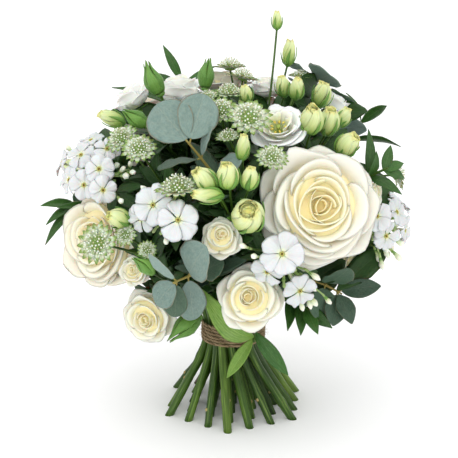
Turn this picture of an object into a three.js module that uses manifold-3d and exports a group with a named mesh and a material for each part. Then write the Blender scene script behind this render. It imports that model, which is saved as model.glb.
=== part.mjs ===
// Rose and eucalyptus bouquet: a hand-tied dome of flowers that stands on its own cut stems.
// Millimetres, +Z up, front towards -Y, floor at z = 0.
import * as THREE from 'three';
import { mergeVertices } from 'three/addons/utils/BufferGeometryUtils.js';
import Module from 'manifold-3d';

const wasm = await Module();
wasm.setup();

// Driving dimensions
const DOME = { radius: 142, height: 106, centreZ: 186 };
const TIE = { z: 70, twine: 3.2, turns: 6, sides: 14 };
const STEM = { radius: 3.6, flat: 3.1, sides: 6, heights: [-12, 56, 70, 82], top: 96 };
const STEM_PITCH = 2 * STEM.flat + 0.4;
const FEET = { spread: 3.05, twist: 0.4, flare: 31.3 };
const VIEW = { elevation: 17, distance: 1250, focal: 1470, middle: 229, axisX: -3.8, aimZ: 160 };
const CLEARANCE = 0.35;
const BLADE = 1.1;
const PETAL = 0.9;
const LEAF_ROOT = 4.5;
const PHLOX_TUBE = 24;
const SLIVER = 0.25;

// What each kind of cut stem carries: branches or a leafy tip of this radius, and the leaves' outline
const STEMS = {
  largeRose: { kind: 'large_rose_stems' },
  sprayRose: { kind: 'spray_rose_stems', branch: 1.5 },
  lisianthus: { kind: 'lisianthus_stems', branch: 1.1 },
  phlox: { kind: 'phlox_stems', branch: 1 },
  astrantia: { kind: 'astrantia_sprays', branch: 1.1 },
  eucalyptus: { kind: 'eucalyptus_sprays', branch: 2,
    leaf: { outline: [0.5, 0.62], stations: 3, cup: 0.12, arch: 0.04 } },
  ruscus: { kind: 'ruscus_sprays', branch: 1.8,
    leaf: { outline: [0.42, 0.9], stations: 2, cup: 0.2, arch: 0.08 } },
  broad: { kind: 'broad_leaves', branch: 2.2,
    leaf: { outline: [0.42, 0.8], stations: 4, cup: 0.3, arch: 0.06 } },
};
const HUB_PULL = 0.35;

// How stems are bent clear: rounds, gap between stems, gap to a head, straightening, step, thinning
const ROUTE = { rounds: 130, gap: 3, headGap: 1.6, smooth: 0.3, step: 8, thin: 5.2 };

// Bloom shapes: petals from the heart out, as turn between petals, half widths, heights and edges
const LARGE_ROSE = { depth: 0.86, step: 2.4, span: [1.9, 0.85], heart: 0.96, edge: 0.5, roll: 0.05,
  round: 0.2, point: 0.14, wave: 0.012, firstOut: 0 };
const SPRAY_ROSE = { ...LARGE_ROSE, depth: 0.95 };
const LISIANTHUS = { depth: 0.9, step: 2.4, span: [1.0, 0.8], heart: 0.95, edge: 0.62, roll: 0.03,
  round: 0.16, point: 0, wave: 0.05, firstOut: 0.5 };

// Colours and roughness from the photograph
const LOOKS = {
  cream: [0xf3ecd3, 0.6],
  white: [0xf6f6f1, 0.6],
  stem: [0x5d7f38, 0.55],
  eucalyptus: [0x8ea396, 0.7],
  ruscus: [0x2f5a2c, 0.45],
  broad: [0x7fa64a, 0.45],
  twine: [0x8a7152, 0.95],
};

// Vectors as plain arrays
const add = (a, b, k = 1) => [a[0] + b[0] * k, a[1] + b[1] * k, a[2] + b[2] * k];
const sub = (a, b) => [a[0] - b[0], a[1] - b[1], a[2] - b[2]];
const scale = (a, k) => [a[0] * k, a[1] * k, a[2] * k];
const dot = (a, b) => a[0] * b[0] + a[1] * b[1] + a[2] * b[2];
const cross = (a, b) => [
  a[1] * b[2] - a[2] * b[1],
  a[2] * b[0] - a[0] * b[2],
  a[0] * b[1] - a[1] * b[0],
];
const size = (a) => Math.sqrt(dot(a, a));
const unit = (a) => scale(a, 1 / size(a));
const mix = (a, b, k) => add(scale(a, 1 - k), b, k);
const radians = (degrees) => (degrees * Math.PI) / 180;

// Seeded random numbers from 0 to 1
function seeded(seed) {
  let state = seed;
  return () => {
    state = (state * 16807) % 2147483647;
    return state / 2147483647;
  };
}

// The photograph's viewpoint, which places what the photo shows
const tilt = radians(VIEW.elevation);
const VIEW_RIGHT = [1, 0, 0];
const VIEW_UP = [0, Math.sin(tilt), Math.cos(tilt)];
const VIEW_BACK = [0, -Math.cos(tilt), Math.sin(tilt)];
const EYE = add([VIEW.axisX, 0, VIEW.aimZ], VIEW_BACK, VIEW.distance);

// A direction given as right, up and toward the viewer
function view(right, up, toward) {
  return unit(add(add(scale(VIEW_RIGHT, right), VIEW_UP, up), VIEW_BACK, toward));
}

// A direction given in degrees round from the front, to the right, and up
function facing(round, up) {
  const a = radians(round);
  const e = radians(up);
  return [Math.sin(a) * Math.cos(e), -Math.cos(a) * Math.cos(e), Math.sin(e)];
}

// The point of the dome, grown by reach, that the photo shows at a pixel
function seen(column, row, reach) {
  const right = (column - VIEW.middle) / VIEW.focal;
  const up = (VIEW.middle - row) / VIEW.focal;
  const ray = add(add(scale(VIEW_RIGHT, right), VIEW_UP, up), VIEW_BACK, -1);
  const wide = DOME.radius * reach;
  const high = DOME.height * reach;
  const from = sub(EYE, [0, 0, DOME.centreZ]);
  const squash = (v) => [v[0] / wide, v[1] / wide, v[2] / high];
  const d = squash(ray);
  const o = squash(from);
  const half = dot(d, o) / dot(d, d);
  const rest = half * half - (dot(o, o) - 1) / dot(d, d);
  return add(EYE, ray, -half - Math.sqrt(Math.max(0, rest)));
}

// The point of the dome in a direction, grown by reach
function around(round, up, reach) {
  const d = facing(round, up);
  return [
    d[0] * DOME.radius * reach,
    d[1] * DOME.radius * reach,
    DOME.centreZ + d[2] * DOME.height * reach,
  ];
}

// The point that the photo shows at a pixel, at a given depth in front of the axis
function ahead(column, row, y) {
  const right = (column - VIEW.middle) / VIEW.focal;
  const up = (VIEW.middle - row) / VIEW.focal;
  const ray = add(add(scale(VIEW_RIGHT, right), VIEW_UP, up), VIEW_BACK, -1);
  return add(EYE, ray, (y - EYE[1]) / ray[1]);
}

// Large roses: middle of the face, aim, radius, petals
const LARGE_ROSES = [
  [seen(320, 205, 0.96), view(0.1, 0.12, 1), 47, 13],
  [seen(94, 240, 0.9), view(-0.75, -0.05, 0.85), 40, 10],
  [around(150, 12, 0.9), facing(150, 12), 42, 8],
  [around(-138, 28, 0.9), facing(-138, 26), 42, 8],
];

// Spray roses by cut stem: middle of the face, aim, radius, petals
const SPRAY_ROSES = [
  [
    [seen(145, 319, 0.98), view(-0.4, -0.25, 1), 23, 6],
    [seen(133, 271, 0.9), view(-0.4, 0.1, 1), 13, 4],
  ],
  [
    [seen(251, 299, 0.98), view(0.05, 0.05, 1), 26, 6],
    [seen(220, 237, 0.92), view(-0.1, 0.15, 1), 16, 5],
  ],
  [
    [seen(132, 98, 0.98), view(-0.5, 0.8, 0.1), 17, 5],
    [seen(180, 90, 0.92), view(0, 0.9, 0.25), 20, 6],
  ],
  [
    [seen(266, 87, 0.9), view(0, 0.9, 0.3), 14, 4],
    [seen(335, 104, 0.88), view(0.5, 0.8, 0.2), 15, 4],
  ],
  [
    [seen(352, 262, 0.84), view(0.6, -0.3, 0.7), 15, 4],
    [seen(377, 192, 0.96), view(0.9, 0.2, 0.4), 12, 4],
  ],
  [
    [around(-168, 62, 0.98), facing(-168, 66), 22, 6],
    [around(-172, -14, 0.95), facing(-172, -8), 23, 6],
  ],
];

// Green rose buds with long sepals, on the spray rose stem of the same rank: middle, aim, length
const ROSE_BUDS = [
  [
    [seen(146, 266, 1.03), view(-0.5, 0.6, 0.6), 17],
    [seen(187, 325, 0.9), view(-0.8, -0.6, 0.4), 25],
  ],
  [],
  [
    [seen(154, 82, 1.1), view(-0.5, 0.9, 0.3), 22],
    [seen(206, 77, 1.02), view(0.1, 1, 0.1), 19],
    [seen(137, 119, 1.02), view(-0.8, 0.5, 0.4), 19],
  ],
  [],
  [],
  [[around(-160, -2, 1.02), facing(-160, 6), 22]],
];

// Open lisianthus flowers, one on the cut stem of the same rank: middle, aim, radius, petals
const LISIANTHUS_FLOWERS = [
  [[seen(278, 125, 0.97), view(-0.15, 0.6, 0.85), 22.5, 6]],
  [],
  [],
  [],
  [[around(-178, 20, 0.98), facing(-178, 22), 24, 6]],
];

// Lisianthus buds by cut stem: middle, aim, length, radius
const LISIANTHUS_BUDS = [
  [
    [seen(277, 20, 1), view(0, 1, 0.1), 16, 4],
    [seen(289, 52, 1), view(0.1, 1, 0.1), 23, 5.5],
    [seen(283, 86, 0.98), view(-0.2, 1, 0.2), 18, 6],
    [seen(297, 88, 1.02), view(0.1, 1, 0.3), 19, 6],
    [seen(246, 93, 1.02), view(-0.3, 1, 0.3), 15, 5],
  ],
  [
    [seen(322, 94, 1.0), view(0.15, 1, 0.3), 22, 8],
    [seen(312, 119, 1.07), view(0, 0.8, 0.7), 26, 9],
    [seen(329, 121, 1.03), view(0.1, 0.8, 0.6), 25, 8.5],
    [seen(343, 117, 1.0), view(0.5, 0.9, 0.2), 18, 6],
    [seen(348, 144, 1.03), view(0.6, 0.6, 0.6), 23, 8.5],
  ],
  [
    [seen(205, 179, 1.08), view(-0.7, 0.6, 0.5), 23, 8],
    [seen(228, 175, 1.09), view(-0.15, 0.9, 0.5), 22, 8.5],
    [seen(207, 195, 1.08), view(-1, 0.05, 0.3), 24, 6],
    [seen(243, 147, 1.04), view(0.1, 1, 0.3), 21, 5],
    [seen(250, 178, 1.07), view(0.1, 1, 0.3), 18, 6.5],
    [seen(248, 215, 1.02), view(0.05, 0.4, 1), 25, 12],
  ],
  [
    [seen(118, 218, 1.03), view(-0.9, 0.2, 0.6), 20, 7.5],
    [seen(111, 118, 1.03), view(-1, 0.4, 0.1), 23, 6],
    [around(-100, 12, 1.0), facing(-100, 24), 20, 7],
  ],
  [
    [around(150, -13, 1.0), facing(150, -5), 22, 8],
    [around(161, -18, 1.0), facing(161, -12), 23, 8],
    [around(170, -2, 1.02), facing(170, 14), 19, 6],
    [around(-172, 4, 1.02), facing(-172, 12), 20, 7],
  ],
];

// Astrantia heads by cut stem: middle, aim, radius
const ASTRANTIA = [
  [
    [seen(97, 243, 1.12), view(-0.35, 0.05, 1), 16],
    [seen(125, 235, 1.02), view(-0.1, 0.3, 1), 9],
    [seen(147, 250, 1.0), view(0.1, 0.4, 1), 8],
  ],
  [
    [seen(121, 138, 1.02), view(-0.4, 0.65, 0.7), 14],
    [seen(139, 148, 1.05), view(-0.1, 0.6, 0.8), 14],
    [seen(178, 187, 1.05), view(-0.1, 0.9, 0.45), 17],
  ],
  [
    [seen(249, 117, 1.06), view(0.1, 0.6, 0.8), 18],
    [seen(221, 110, 1.04), view(-0.1, 0.7, 0.75), 14],
    [seen(229, 92, 1.0), view(0, 0.95, 0.4), 13],
    [seen(207, 97, 1.0), view(-0.3, 0.8, 0.5), 10],
    [seen(243, 77, 0.97), view(0.2, 1, 0.1), 13],
  ],
  [
    [seen(272, 157, 1.03), view(0.1, 0.7, 0.8), 13],
    [seen(300, 76, 0.97), view(0.1, 1, 0.2), 10],
    [seen(228, 136, 1.0), view(-0.1, 0.9, 0.5), 10],
  ],
  [
    [around(-176, 74, 1.04), facing(-176, 78), 14],
    [around(147, 40, 1.03), facing(147, 44), 16],
    [around(-146, 2, 1.05), facing(-146, 10), 16],
    [around(106, 6, 1.04), facing(106, 20), 14],
  ],
];

// Phlox florets by cut stem: middle, aim, radius
const PHLOX = [
  [
    [seen(81, 155, 1.04), view(-0.4, 0.5, 0.8), 13],
    [seen(69, 180, 1.04), view(-0.8, 0.1, 0.6), 13],
    [seen(84, 185, 1.06), view(-0.3, -0.1, 1), 13],
    [seen(99, 169, 1.06), view(-0.1, 0.2, 1), 13],
    [seen(107, 149, 1.03), view(0.1, 0.6, 0.8), 12],
    [seen(91, 140, 1.0), view(-0.3, 0.9, 0.4), 12],
    [seen(62, 163, 0.98), view(-1, 0.3, 0.2), 12],
    [seen(103, 190, 1.04), view(0.2, -0.3, 1), 12],
  ],
  [
    [seen(153, 205, 1.04), view(-0.3, 0.2, 1), 17],
    [seen(178, 220, 1.08), view(0.05, 0.1, 1), 17],
    [seen(141, 219, 1.0), view(-0.5, -0.4, 0.8), 13],
  ],
  [
    [seen(282, 254, 1.08), view(0.0, 0.1, 1), 18],
    [seen(267, 272, 1.0), view(-0.3, -0.6, 0.8), 14],
    [seen(300, 291, 1.0), view(0.3, -0.5, 0.9), 15],
  ],
  [
    [seen(377, 216, 1.0), view(0.4, 0.3, 1), 14],
    [seen(397, 212, 1.0), view(0.9, 0.3, 0.6), 14],
    [seen(405, 230, 1.0), view(1, -0.1, 0.4), 13],
    [seen(386, 236, 1.02), view(0.5, -0.3, 1), 13],
    [seen(400, 202, 0.9), view(0.8, 0.8, 0), 13],
  ],
  [
    [around(176, 44, 1.02), facing(176, 44), 15],
    [around(163, 40, 1.0), facing(160, 38), 15],
    [around(-172, 38, 1.0), facing(-170, 34), 14],
    [around(178, 56, 1.0), facing(178, 66), 14],
    [around(160, 52, 1.0), facing(156, 56), 14],
  ],
];

// Slim phlox buds on the cut stem of the same rank: tip
const PHLOX_BUDS = [
  [seen(122, 202, 1.0), seen(66, 146, 1.0)],
  [seen(166, 244, 1.02), seen(190, 242, 1.0)],
  [seen(240, 245, 1.02), seen(252, 256, 1.04), seen(314, 284, 0.98), seen(301, 305, 0.94)],
  [seen(388, 252, 1.0), seen(401, 260, 0.98), seen(380, 262, 0.98)],
  [around(170, 64, 1.02), around(158, 30, 1.04)],
];

// Eucalyptus: the tip's route, then leaves as rank of the node, tip, width, aim of the face
const EUCALYPTUS = [
  [
    [seen(222, 176, 0.84), seen(206, 158, 0.99), seen(186, 140, 1.08)],
    [
      [2, seen(156, 105, 1.15), 38, view(-0.3, 0.5, 1)],
      [2, seen(204, 94, 1.15), 33, view(0.25, 0.5, 1)],
      [1, seen(158, 170, 1.07), 24, view(-0.3, 1, 0.35)],
      [1, seen(212, 126, 1.08), 15, view(-0.5, 0.6, 0.4)],
      [0, seen(242, 160, 1.0), 22, view(0.2, 0.5, 1)],
      [0, seen(193, 188, 1.0), 24, view(-0.2, 0.2, 1)],
    ],
  ],
  [
    [seen(212, 262, 0.84), seen(190, 272, 1.0), seen(173, 283, 1.07)],
    [
      [1, seen(206, 246, 1.1), 34, view(-0.1, 0.3, 1)],
      [2, seen(156, 304, 1.07), 22, view(-0.4, 0, 1)],
      [2, seen(175, 317, 1.05), 19, view(0, -0.1, 1)],
      [1, seen(193, 320, 1.0), 24, view(0.2, -0.2, 1)],
      [2, seen(149, 254, 1.1), 11, view(-0.8, 0.3, 0.7)],
      [0, seen(226, 250, 0.98), 24, view(0.1, 0.3, 1)],
    ],
  ],
  [
    [seen(306, 262, 0.68), seen(322, 280, 0.84), seen(342, 294, 0.93)],
    [
      [0, seen(300, 306, 0.86), 25, view(-0.1, -0.1, 1)],
      [1, seen(319, 320, 0.9), 25, view(0.1, -0.3, 1)],
      [1, seen(349, 268, 0.92), 24, view(0.4, 0.2, 1)],
      [2, seen(333, 326, 0.95), 20, view(0.1, -0.2, 1)],
      [2, seen(352, 324, 0.98), 17, view(0.5, -0.2, 1)],
      [2, seen(381, 286, 1.02), 17, view(0.5, 0.3, 1)],
    ],
  ],
  [
    [around(126, 36, 0.8), around(124, 48, 0.97), around(120, 58, 1.08)],
    [
      [2, around(98, 60, 1.14), 34, facing(115, 50)],
      [2, around(140, 66, 1.12), 31, facing(130, 60)],
      [1, around(102, 46, 1.05), 30, facing(110, 45)],
      [1, around(146, 54, 1.04), 29, facing(140, 60)],
      [0, around(108, 30, 0.98), 28, facing(110, 20)],
    ],
  ],
  [
    [around(-118, -22, 0.78), around(-122, -14, 0.96), around(-128, -6, 1.06)],
    [
      [2, around(-124, 8, 1.12), 30, facing(-120, 10)],
      [2, around(-140, -12, 1.1), 28, facing(-132, -10)],
      [1, around(-108, -6, 1.05), 28, facing(-112, -5)],
      [1, around(-134, -28, 1.03), 26, facing(-130, -30)],
      [0, around(-104, -26, 0.96), 24, facing(-105, -25)],
    ],
  ],
];

// Ruscus foliage: the tip's route, then leaves as rank of the node, tip, width
const RUSCUS = [
  [
    [seen(352, 182, 0.84), seen(372, 173, 0.99), seen(388, 168, 1.07)],
    [
      [1, seen(369, 129, 1.08), 9],
      [1, seen(377, 152, 1.12), 9],
      [2, seen(391, 145, 1.12), 9],
      [2, seen(404, 163, 1.12), 9],
      [2, seen(405, 178, 1.1), 10],
      [1, seen(402, 194, 1.1), 10],
      [0, seen(356, 160, 1.0), 10],
    ],
  ],
  [
    [around(-96, -8, 0.72), around(-94, -5, 0.86), around(-91, -3, 0.97)],
    [
      [2, seen(41, 205, 1.02), 10],
      [2, seen(46, 224, 1.06), 9],
      [2, seen(45, 244, 1.08), 9],
      [1, seen(58, 207, 1.0), 10],
    ],
  ],
  [
    [seen(292, 282, 0.6), seen(301, 298, 0.72), seen(308, 309, 0.8)],
    [
      [0, seen(288, 330, 0.84), 11],
      [1, seen(301, 335, 0.88), 11],
      [2, seen(318, 334, 0.9), 12],
      [2, seen(332, 328, 0.94), 12],
    ],
  ],
  [
    [seen(186, 100, 0.7), seen(183, 84, 0.92), seen(181, 74, 1.02)],
    [
      [2, seen(163, 45, 1.05), 8],
      [1, seen(214, 66, 0.96), 9],
      [1, seen(150, 72, 0.96), 10],
      [0, seen(112, 86, 0.88), 10],
    ],
  ],
  [
    [around(122, 10, 0.8), around(120, 20, 0.97), around(122, 28, 1.08)],
    [
      [2, around(110, 34, 1.2), 10],
      [2, around(132, 36, 1.18), 10],
      [1, around(106, 18, 1.12), 10],
      [1, around(134, 20, 1.08), 10],
      [0, around(104, 2, 1.02), 11],
    ],
  ],
];

// Broad leaves that fall over the tie: the tip's route, then leaves as before with width
const BROAD_LEAVES = [
  [ahead(268, 318, -40), ahead(261, 332, -45), ahead(254, 342, -49)],
  [
    [2, ahead(203, 288, -72), 15],
    [2, ahead(227, 378, -56), 11],
    [1, ahead(288, 375, -52), 13],
  ],
];

// A closed solid from points and triangles
function solid(points, faces) {
  const vertProperties = new Float32Array(points.flat());
  const triVerts = new Uint32Array(faces.flat());
  return new wasm.Manifold(new wasm.Mesh({ numProp: 3, vertProperties, triVerts }));
}

// A closed solid from a three.js geometry
function fromGeometry(geometry) {
  geometry.deleteAttribute('normal');
  geometry.deleteAttribute('uv');
  const merged = mergeVertices(geometry, 1e-3);
  const index = merged.index.array;
  const faces = [];
  for (let i = 0; i < index.length; i += 3) {
    const [a, b, c] = index.subarray(i, i + 3);
    if (a !== b && b !== c && c !== a) faces.push([a, b, c]);
  }
  const flat = merged.attributes.position.array;
  const points = [];
  for (let i = 0; i < flat.length; i += 3) points.push([flat[i], flat[i + 1], flat[i + 2]]);
  return solid(points, faces);
}

// Axes of a piece that points along its aim
function axes(aim) {
  const level = Math.abs(aim[2]) > 0.999 ? [1, 0, 0] : unit(cross([0, 0, 1], aim));
  return [level, cross(aim, level), aim];
}

// A function from a piece's own coordinates to the bouquet's
function placer(base, aim) {
  const [across, over, along] = axes(aim);
  return ([x, y, z]) => add(add(add(base, across, x), over, y), along, z);
}

// A skin over rows of middle points: thick inside the outline, and sharp at both sides
function sheet(rows, thick) {
  const columns = Math.max(...rows.map((row) => row.length)) - 1;
  const at = (i, j) => (rows[i].length === 1 ? rows[i][0] : rows[i][j]);
  const normal = (i, j) => {
    const across = sub(at(i, j + 1), at(i, j - 1));
    const along = sub(at(Math.min(i + 1, rows.length - 1), j), at(Math.max(i - 1, 0), j));
    return unit(cross(across, along));
  };
  const points = [];
  const rings = rows.map((row, i) => {
    const first = points.length;
    if (row.length === 1) {
      points.push(row[0]);
      return [first];
    }
    for (let j = 0; j <= columns; j++) {
      const inside = j > 0 && j < columns;
      points.push(inside ? add(row[j], normal(i, j), thick / 2) : row[j]);
    }
    for (let j = columns - 1; j > 0; j--) points.push(add(row[j], normal(i, j), -thick / 2));
    return Array.from({ length: 2 * columns }, (_, j) => first + j);
  });
  return solid(points, [...between(rings, true), ...closed(rings, columns)]);
}

// Triangles between neighbouring rings; the second half of each ring mirrors the first if asked
function between(rings, mirrored = false) {
  const faces = [];
  for (let i = 0; i + 1 < rings.length; i++) {
    const [low, high] = [rings[i], rings[i + 1]];
    const count = Math.max(low.length, high.length);
    for (let j = 0; j < count; j++) {
      const k = (j + 1) % count;
      if (low.length === 1) faces.push([low[0], high[k], high[j]]);
      else if (high.length === 1) faces.push([low[j], low[k], high[0]]);
      else if (mirrored && j >= count / 2) {
        faces.push([low[j], low[k], high[j]], [low[k], high[k], high[j]]);
      } else faces.push([low[j], low[k], high[k]], [low[j], high[k], high[j]]);
    }
  }
  return faces;
}

// Triangles over the open ends of a sheet
function closed(rings, columns) {
  const faces = [];
  const strip = (ring, turned) => {
    for (let j = 0; j < columns; j++) {
      const back = [2 * columns - 1 - j, (2 * columns - j) % (2 * columns)];
      const corners = [ring[j], ring[j + 1], ring[back[0]], ring[back[1]]];
      const kept = corners.filter((corner, n) => corners.indexOf(corner) === n);
      for (let n = 2; n < kept.length; n++) {
        faces.push(turned ? [kept[0], kept[n - 1], kept[n]] : [kept[0], kept[n], kept[n - 1]]);
      }
    }
  };
  if (rings[0].length > 1) strip(rings[0], false);
  if (rings.at(-1).length > 1) strip(rings.at(-1), true);
  return faces;
}

// A solid round an axis: rings of radius and height, where a pair of pairs alternates round the ring
function turned(base, aim, sides, bottom, rings, top, spin = 0) {
  const place = placer(base, aim);
  const points = [place([0, 0, bottom])];
  const loops = [[0]];
  rings.forEach((ring, i) => {
    loops.push(Array.from({ length: sides }, (_, j) => points.length + j));
    for (let j = 0; j < sides; j++) {
      const [radius, height] = Array.isArray(ring[0]) ? ring[j % ring.length] : ring;
      const angle = (2 * Math.PI * j) / sides + spin * i;
      points.push(place([radius * Math.cos(angle), radius * Math.sin(angle), height]));
    }
  });
  loops.push([points.length]);
  points.push(place([0, 0, top]));
  return solid(points, between(loops));
}

// A stalk of even thickness with a ring of corners at every point of its route. At the point
// given as level, a corner points half a side's turn away from +X, so that neighbours lie flat.
function stalk(route, radius, sides, level = 0) {
  const curve = new THREE.CatmullRomCurve3(route.map((p) => new THREE.Vector3(...p)));
  curve.getPointAt = (share) => curve.getPoint(share);
  curve.getTangentAt = (share) => curve.getTangent(share);
  const steps = route.length - 1;
  const frames = curve.computeFrenetFrames(steps);
  const corner = new THREE.Vector3(Math.cos(Math.PI / sides), Math.sin(Math.PI / sides), 0);
  const first = Math.atan2(corner.dot(frames.binormals[level]), corner.dot(frames.normals[level]));
  const outline = new THREE.Shape();
  for (let j = 0; j < sides; j++) {
    const angle = first + (2 * Math.PI * j) / sides;
    const spot = [radius * Math.cos(angle), radius * Math.sin(angle)];
    if (j === 0) outline.moveTo(...spot);
    else outline.lineTo(...spot);
  }
  const settings = { steps, extrudePath: curve, bevelEnabled: false };
  return fromGeometry(new THREE.ExtrudeGeometry(outline, settings));
}

// Every so many points of a route, with both its ends
function thinned(route, every) {
  const last = route.length - 1;
  const count = Math.max(1, Math.round(last / every));
  return Array.from({ length: count + 1 }, (_, k) => route[Math.round((k * last) / count)]);
}

// A three.js geometry of a solid
function toGeometry(body) {
  const mesh = body.getMesh();
  const geometry = new THREE.BufferGeometry();
  geometry.setAttribute('position', new THREE.BufferAttribute(mesh.vertProperties.slice(), 3));
  geometry.setIndex(new THREE.BufferAttribute(mesh.triVerts.slice(), 1));
  return geometry;
}

// The largest body of a solid: sealed hollows are filled and scraps dropped
function largest(body) {
  return body.decompose().reduce((best, part) => (part.volume() > best.volume() ? part : best));
}

// One body from pieces that run into each other, without slivers finer than a micron
function fuse(pieces) {
  return largest(fromGeometry(toGeometry(wasm.Manifold.union(pieces).simplify(SLIVER))));
}

// A leaf between two points; outline holds where it is widest and how round it is
function blade(base, tip, face, width, { outline, arch, cup, stations }) {
  const length = size(sub(tip, base));
  const along = unit(sub(tip, base));
  const up = unit(sub(face, scale(along, dot(face, along))));
  const side = cross(up, along);
  const widest = Math.log(0.5) / Math.log(outline[0]);
  const rows = [[base]];
  for (let k = 1; k <= stations; k++) {
    const t = (1 - Math.cos((Math.PI * k) / (stations + 1))) / 2;
    const half = (width / 2) * Math.sin(Math.PI * t ** widest) ** outline[1];
    const middle = add(add(base, along, length * t), up, arch * length * 4 * t * (1 - t));
    const lift = cup * half;
    rows.push([add(add(middle, side, half), up, lift), middle, add(add(middle, side, -half), up, lift)]);
  }
  rows.push([tip]);
  return sheet(rows, BLADE);
}

// Petals in nested bowls, each turned on by the golden angle, from the heart out
function bowlPetals(count, radius, depth, shape, random) {
  const petals = [];
  for (let k = 0; k < count; k++) {
    const out = ((k + shape.firstOut * count) / (count - 1 + shape.firstOut * count)) ** 0.6;
    petals.push({
      turn: k * shape.step + 0.3 * (random() - 0.5),
      span: shape.span[0] + (shape.span[1] - shape.span[0]) * out ** 0.7,
      root: [radius * (0.06 + 0.07 * out), depth * (0.17 - 0.05 * out)],
      belly: [radius * (0.2 + 0.62 * out ** 0.9), depth * (0.42 - 0.3 * out)],
      rim: [
        radius * (0.09 + 0.91 * out ** 1.1) * (1 + 0.05 * (random() - 0.5)),
        depth * (shape.heart - (shape.heart - shape.edge) * out ** 1.5 + 0.06 * (random() - 0.5)),
      ],
      roll: shape.roll * radius * out,
      round: shape.round * (1 + 0.3 * (random() - 0.5)),
      point: shape.point * out * random(),
      wave: shape.wave * radius * (0.4 + 0.6 * out),
      phase: 6.28 * random(),
    });
  }
  return petals;
}

// A point of such a petal: s runs from side to side, -1 to 1, and t from root to rim
function petalPoint(petal, s, t) {
  const reach = t * (1 - petal.round * Math.abs(s) ** 2.4 + petal.point * Math.max(0, 1 - 3 * Math.abs(s)));
  const [a, b, c] = [(1 - reach) ** 2, 2 * reach * (1 - reach), reach ** 2];
  const bend = Math.max(0, reach - 0.75) / 0.25;
  const ruffle = petal.wave * t ** 3 * Math.sin(5 * s + petal.phase);
  const r = a * petal.root[0] + b * petal.belly[0] + c * petal.rim[0] + petal.roll * bend ** 2 + ruffle * 0.5;
  const z = a * petal.root[1] + b * petal.belly[1] + c * petal.rim[1] - petal.roll * bend ** 3 + ruffle;
  const spread = 0.5 + 0.5 * Math.sin((Math.min(1, reach * 1.3) * Math.PI) / 2);
  const angle = petal.turn + s * petal.span * spread;
  return [r * Math.cos(angle), r * Math.sin(angle), z];
}

// A rose or lisianthus bloom: nested petals on a small heart
function bloom(base, aim, radius, depth, count, shape, seed) {
  const place = placer(base, aim);
  const random = seeded(seed);
  const heart = [[0.27 * radius, 0.1 * depth], [0.16 * radius, 0.4 * depth]];
  const pieces = [turned(base, aim, 5, 0, heart, 0.5 * depth)];
  bowlPetals(count, radius, depth, shape, random).forEach((petal, k) => {
    const [across, along] = count > 12 && k > 9 ? [4, 3] : [3, 2];
    const rows = [[place(petalPoint(petal, 0, 0))]];
    for (let i = 1; i <= along; i++) {
      const t = i / along;
      const columns = Array.from({ length: across + 1 }, (_, j) => (2 * j) / across - 1);
      rows.push(columns.map((s) => place(petalPoint(petal, s, t))));
    }
    pieces.push(sheet(rows, PETAL));
  });
  return fuse(pieces);
}

// Calyx under a bloom: a green cup and five sepals that bend away from the petals
function calyx(base, aim, radius, depth) {
  const tip = [0.62 * radius, -0.16 * depth];
  const notch = [0.12 * radius, -0.14 * depth];
  return [turned(base, aim, 10, -0.24 * depth, [[tip, notch], [0.13 * radius, -0.05 * depth]], -CLEARANCE)];
}

// A closed bud with sepals that stand off it, their tips at a share of its length
function bud(middle, aim, length, radius, sepals, reach) {
  const base = add(middle, aim, -length / 2);
  if (sepals === 0) return [turned(base, aim, 4, -1, [[radius, 0.5 * length]], length)];
  const full = [[0.92 * radius, 0.36 * length], [0.7 * radius, 0.74 * length]];
  const tips = [[1.6 * radius, reach * length], [0.6 * radius, 0.14 * length]];
  return [turned(base, aim, 2 * sepals, -1, [tips, ...full], length)];
}

// An astrantia head: a ring of pointed bracts and a spiky pincushion of florets
function astrantiaHead(middle, aim, radius) {
  const base = add(middle, aim, -0.2 * radius);
  const bracts = [[radius, 0.24 * radius], [0.62 * radius, 0.1 * radius]];
  const collar = [0.36 * radius, 0.12 * radius];
  const florets = [[0.42 * radius, 0.42 * radius], [0.24 * radius, 0.3 * radius]];
  return [turned(base, aim, radius > 11 ? 12 : 10, -1.2, [bracts, collar, florets], 0.4 * radius)];
}

// A phlox floret: five petals on a slender tube that runs back to the cluster's middle
function phloxFloret(middle, aim, radius, hub) {
  const place = placer(middle, aim);
  const ring = (angle, r, z) => place([r * Math.cos(angle), r * Math.sin(angle), z]);
  const points = [place([0, 0, 0.5]), hub];
  const faces = [];
  for (let k = 0; k < 5; k++) {
    const turn = (share) => (2 * Math.PI * (k + share)) / 5;
    points.push(ring(turn(0), 1.5, -1.1), ring(turn(0), 0.42 * radius, 0.2));
    points.push(ring(turn(0.28), 0.98 * radius, -0.6), ring(turn(0.72), 0.98 * radius, 0.4));
    const [throat, notch, left, right] = [2, 3, 4, 5].map((n) => n + 4 * k);
    const [nextThroat, nextNotch] = [2, 3].map((n) => n + 4 * ((k + 1) % 5));
    faces.push([0, notch, left], [0, left, right], [0, right, nextNotch]);
    faces.push([throat, left, notch], [throat, right, left], [throat, nextNotch, right]);
    faces.push([throat, nextThroat, nextNotch], [throat, 1, nextThroat]);
  }
  return solid(points, faces);
}

// Waist: stems stand in a honeycomb inside the tie, and fan out above and below it
const FAN = TIE.z / Math.sqrt(FEET.spread ** 2 - 1);
const fan = (z) => Math.sqrt(1 + ((z - TIE.z) / (z < TIE.z ? FAN : FEET.flare)) ** 2);

// Where a stem that has this place in the waist passes a height at or below the top of the tie
function atHeight(spot, z) {
  const turn = z < TIE.z ? (FEET.twist * (TIE.z - z)) / TIE.z : 0;
  const [x, y] = scale([spot[0], spot[1], 0], fan(z));
  return [x * Math.cos(turn) - y * Math.sin(turn), x * Math.sin(turn) + y * Math.cos(turn), z];
}

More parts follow.
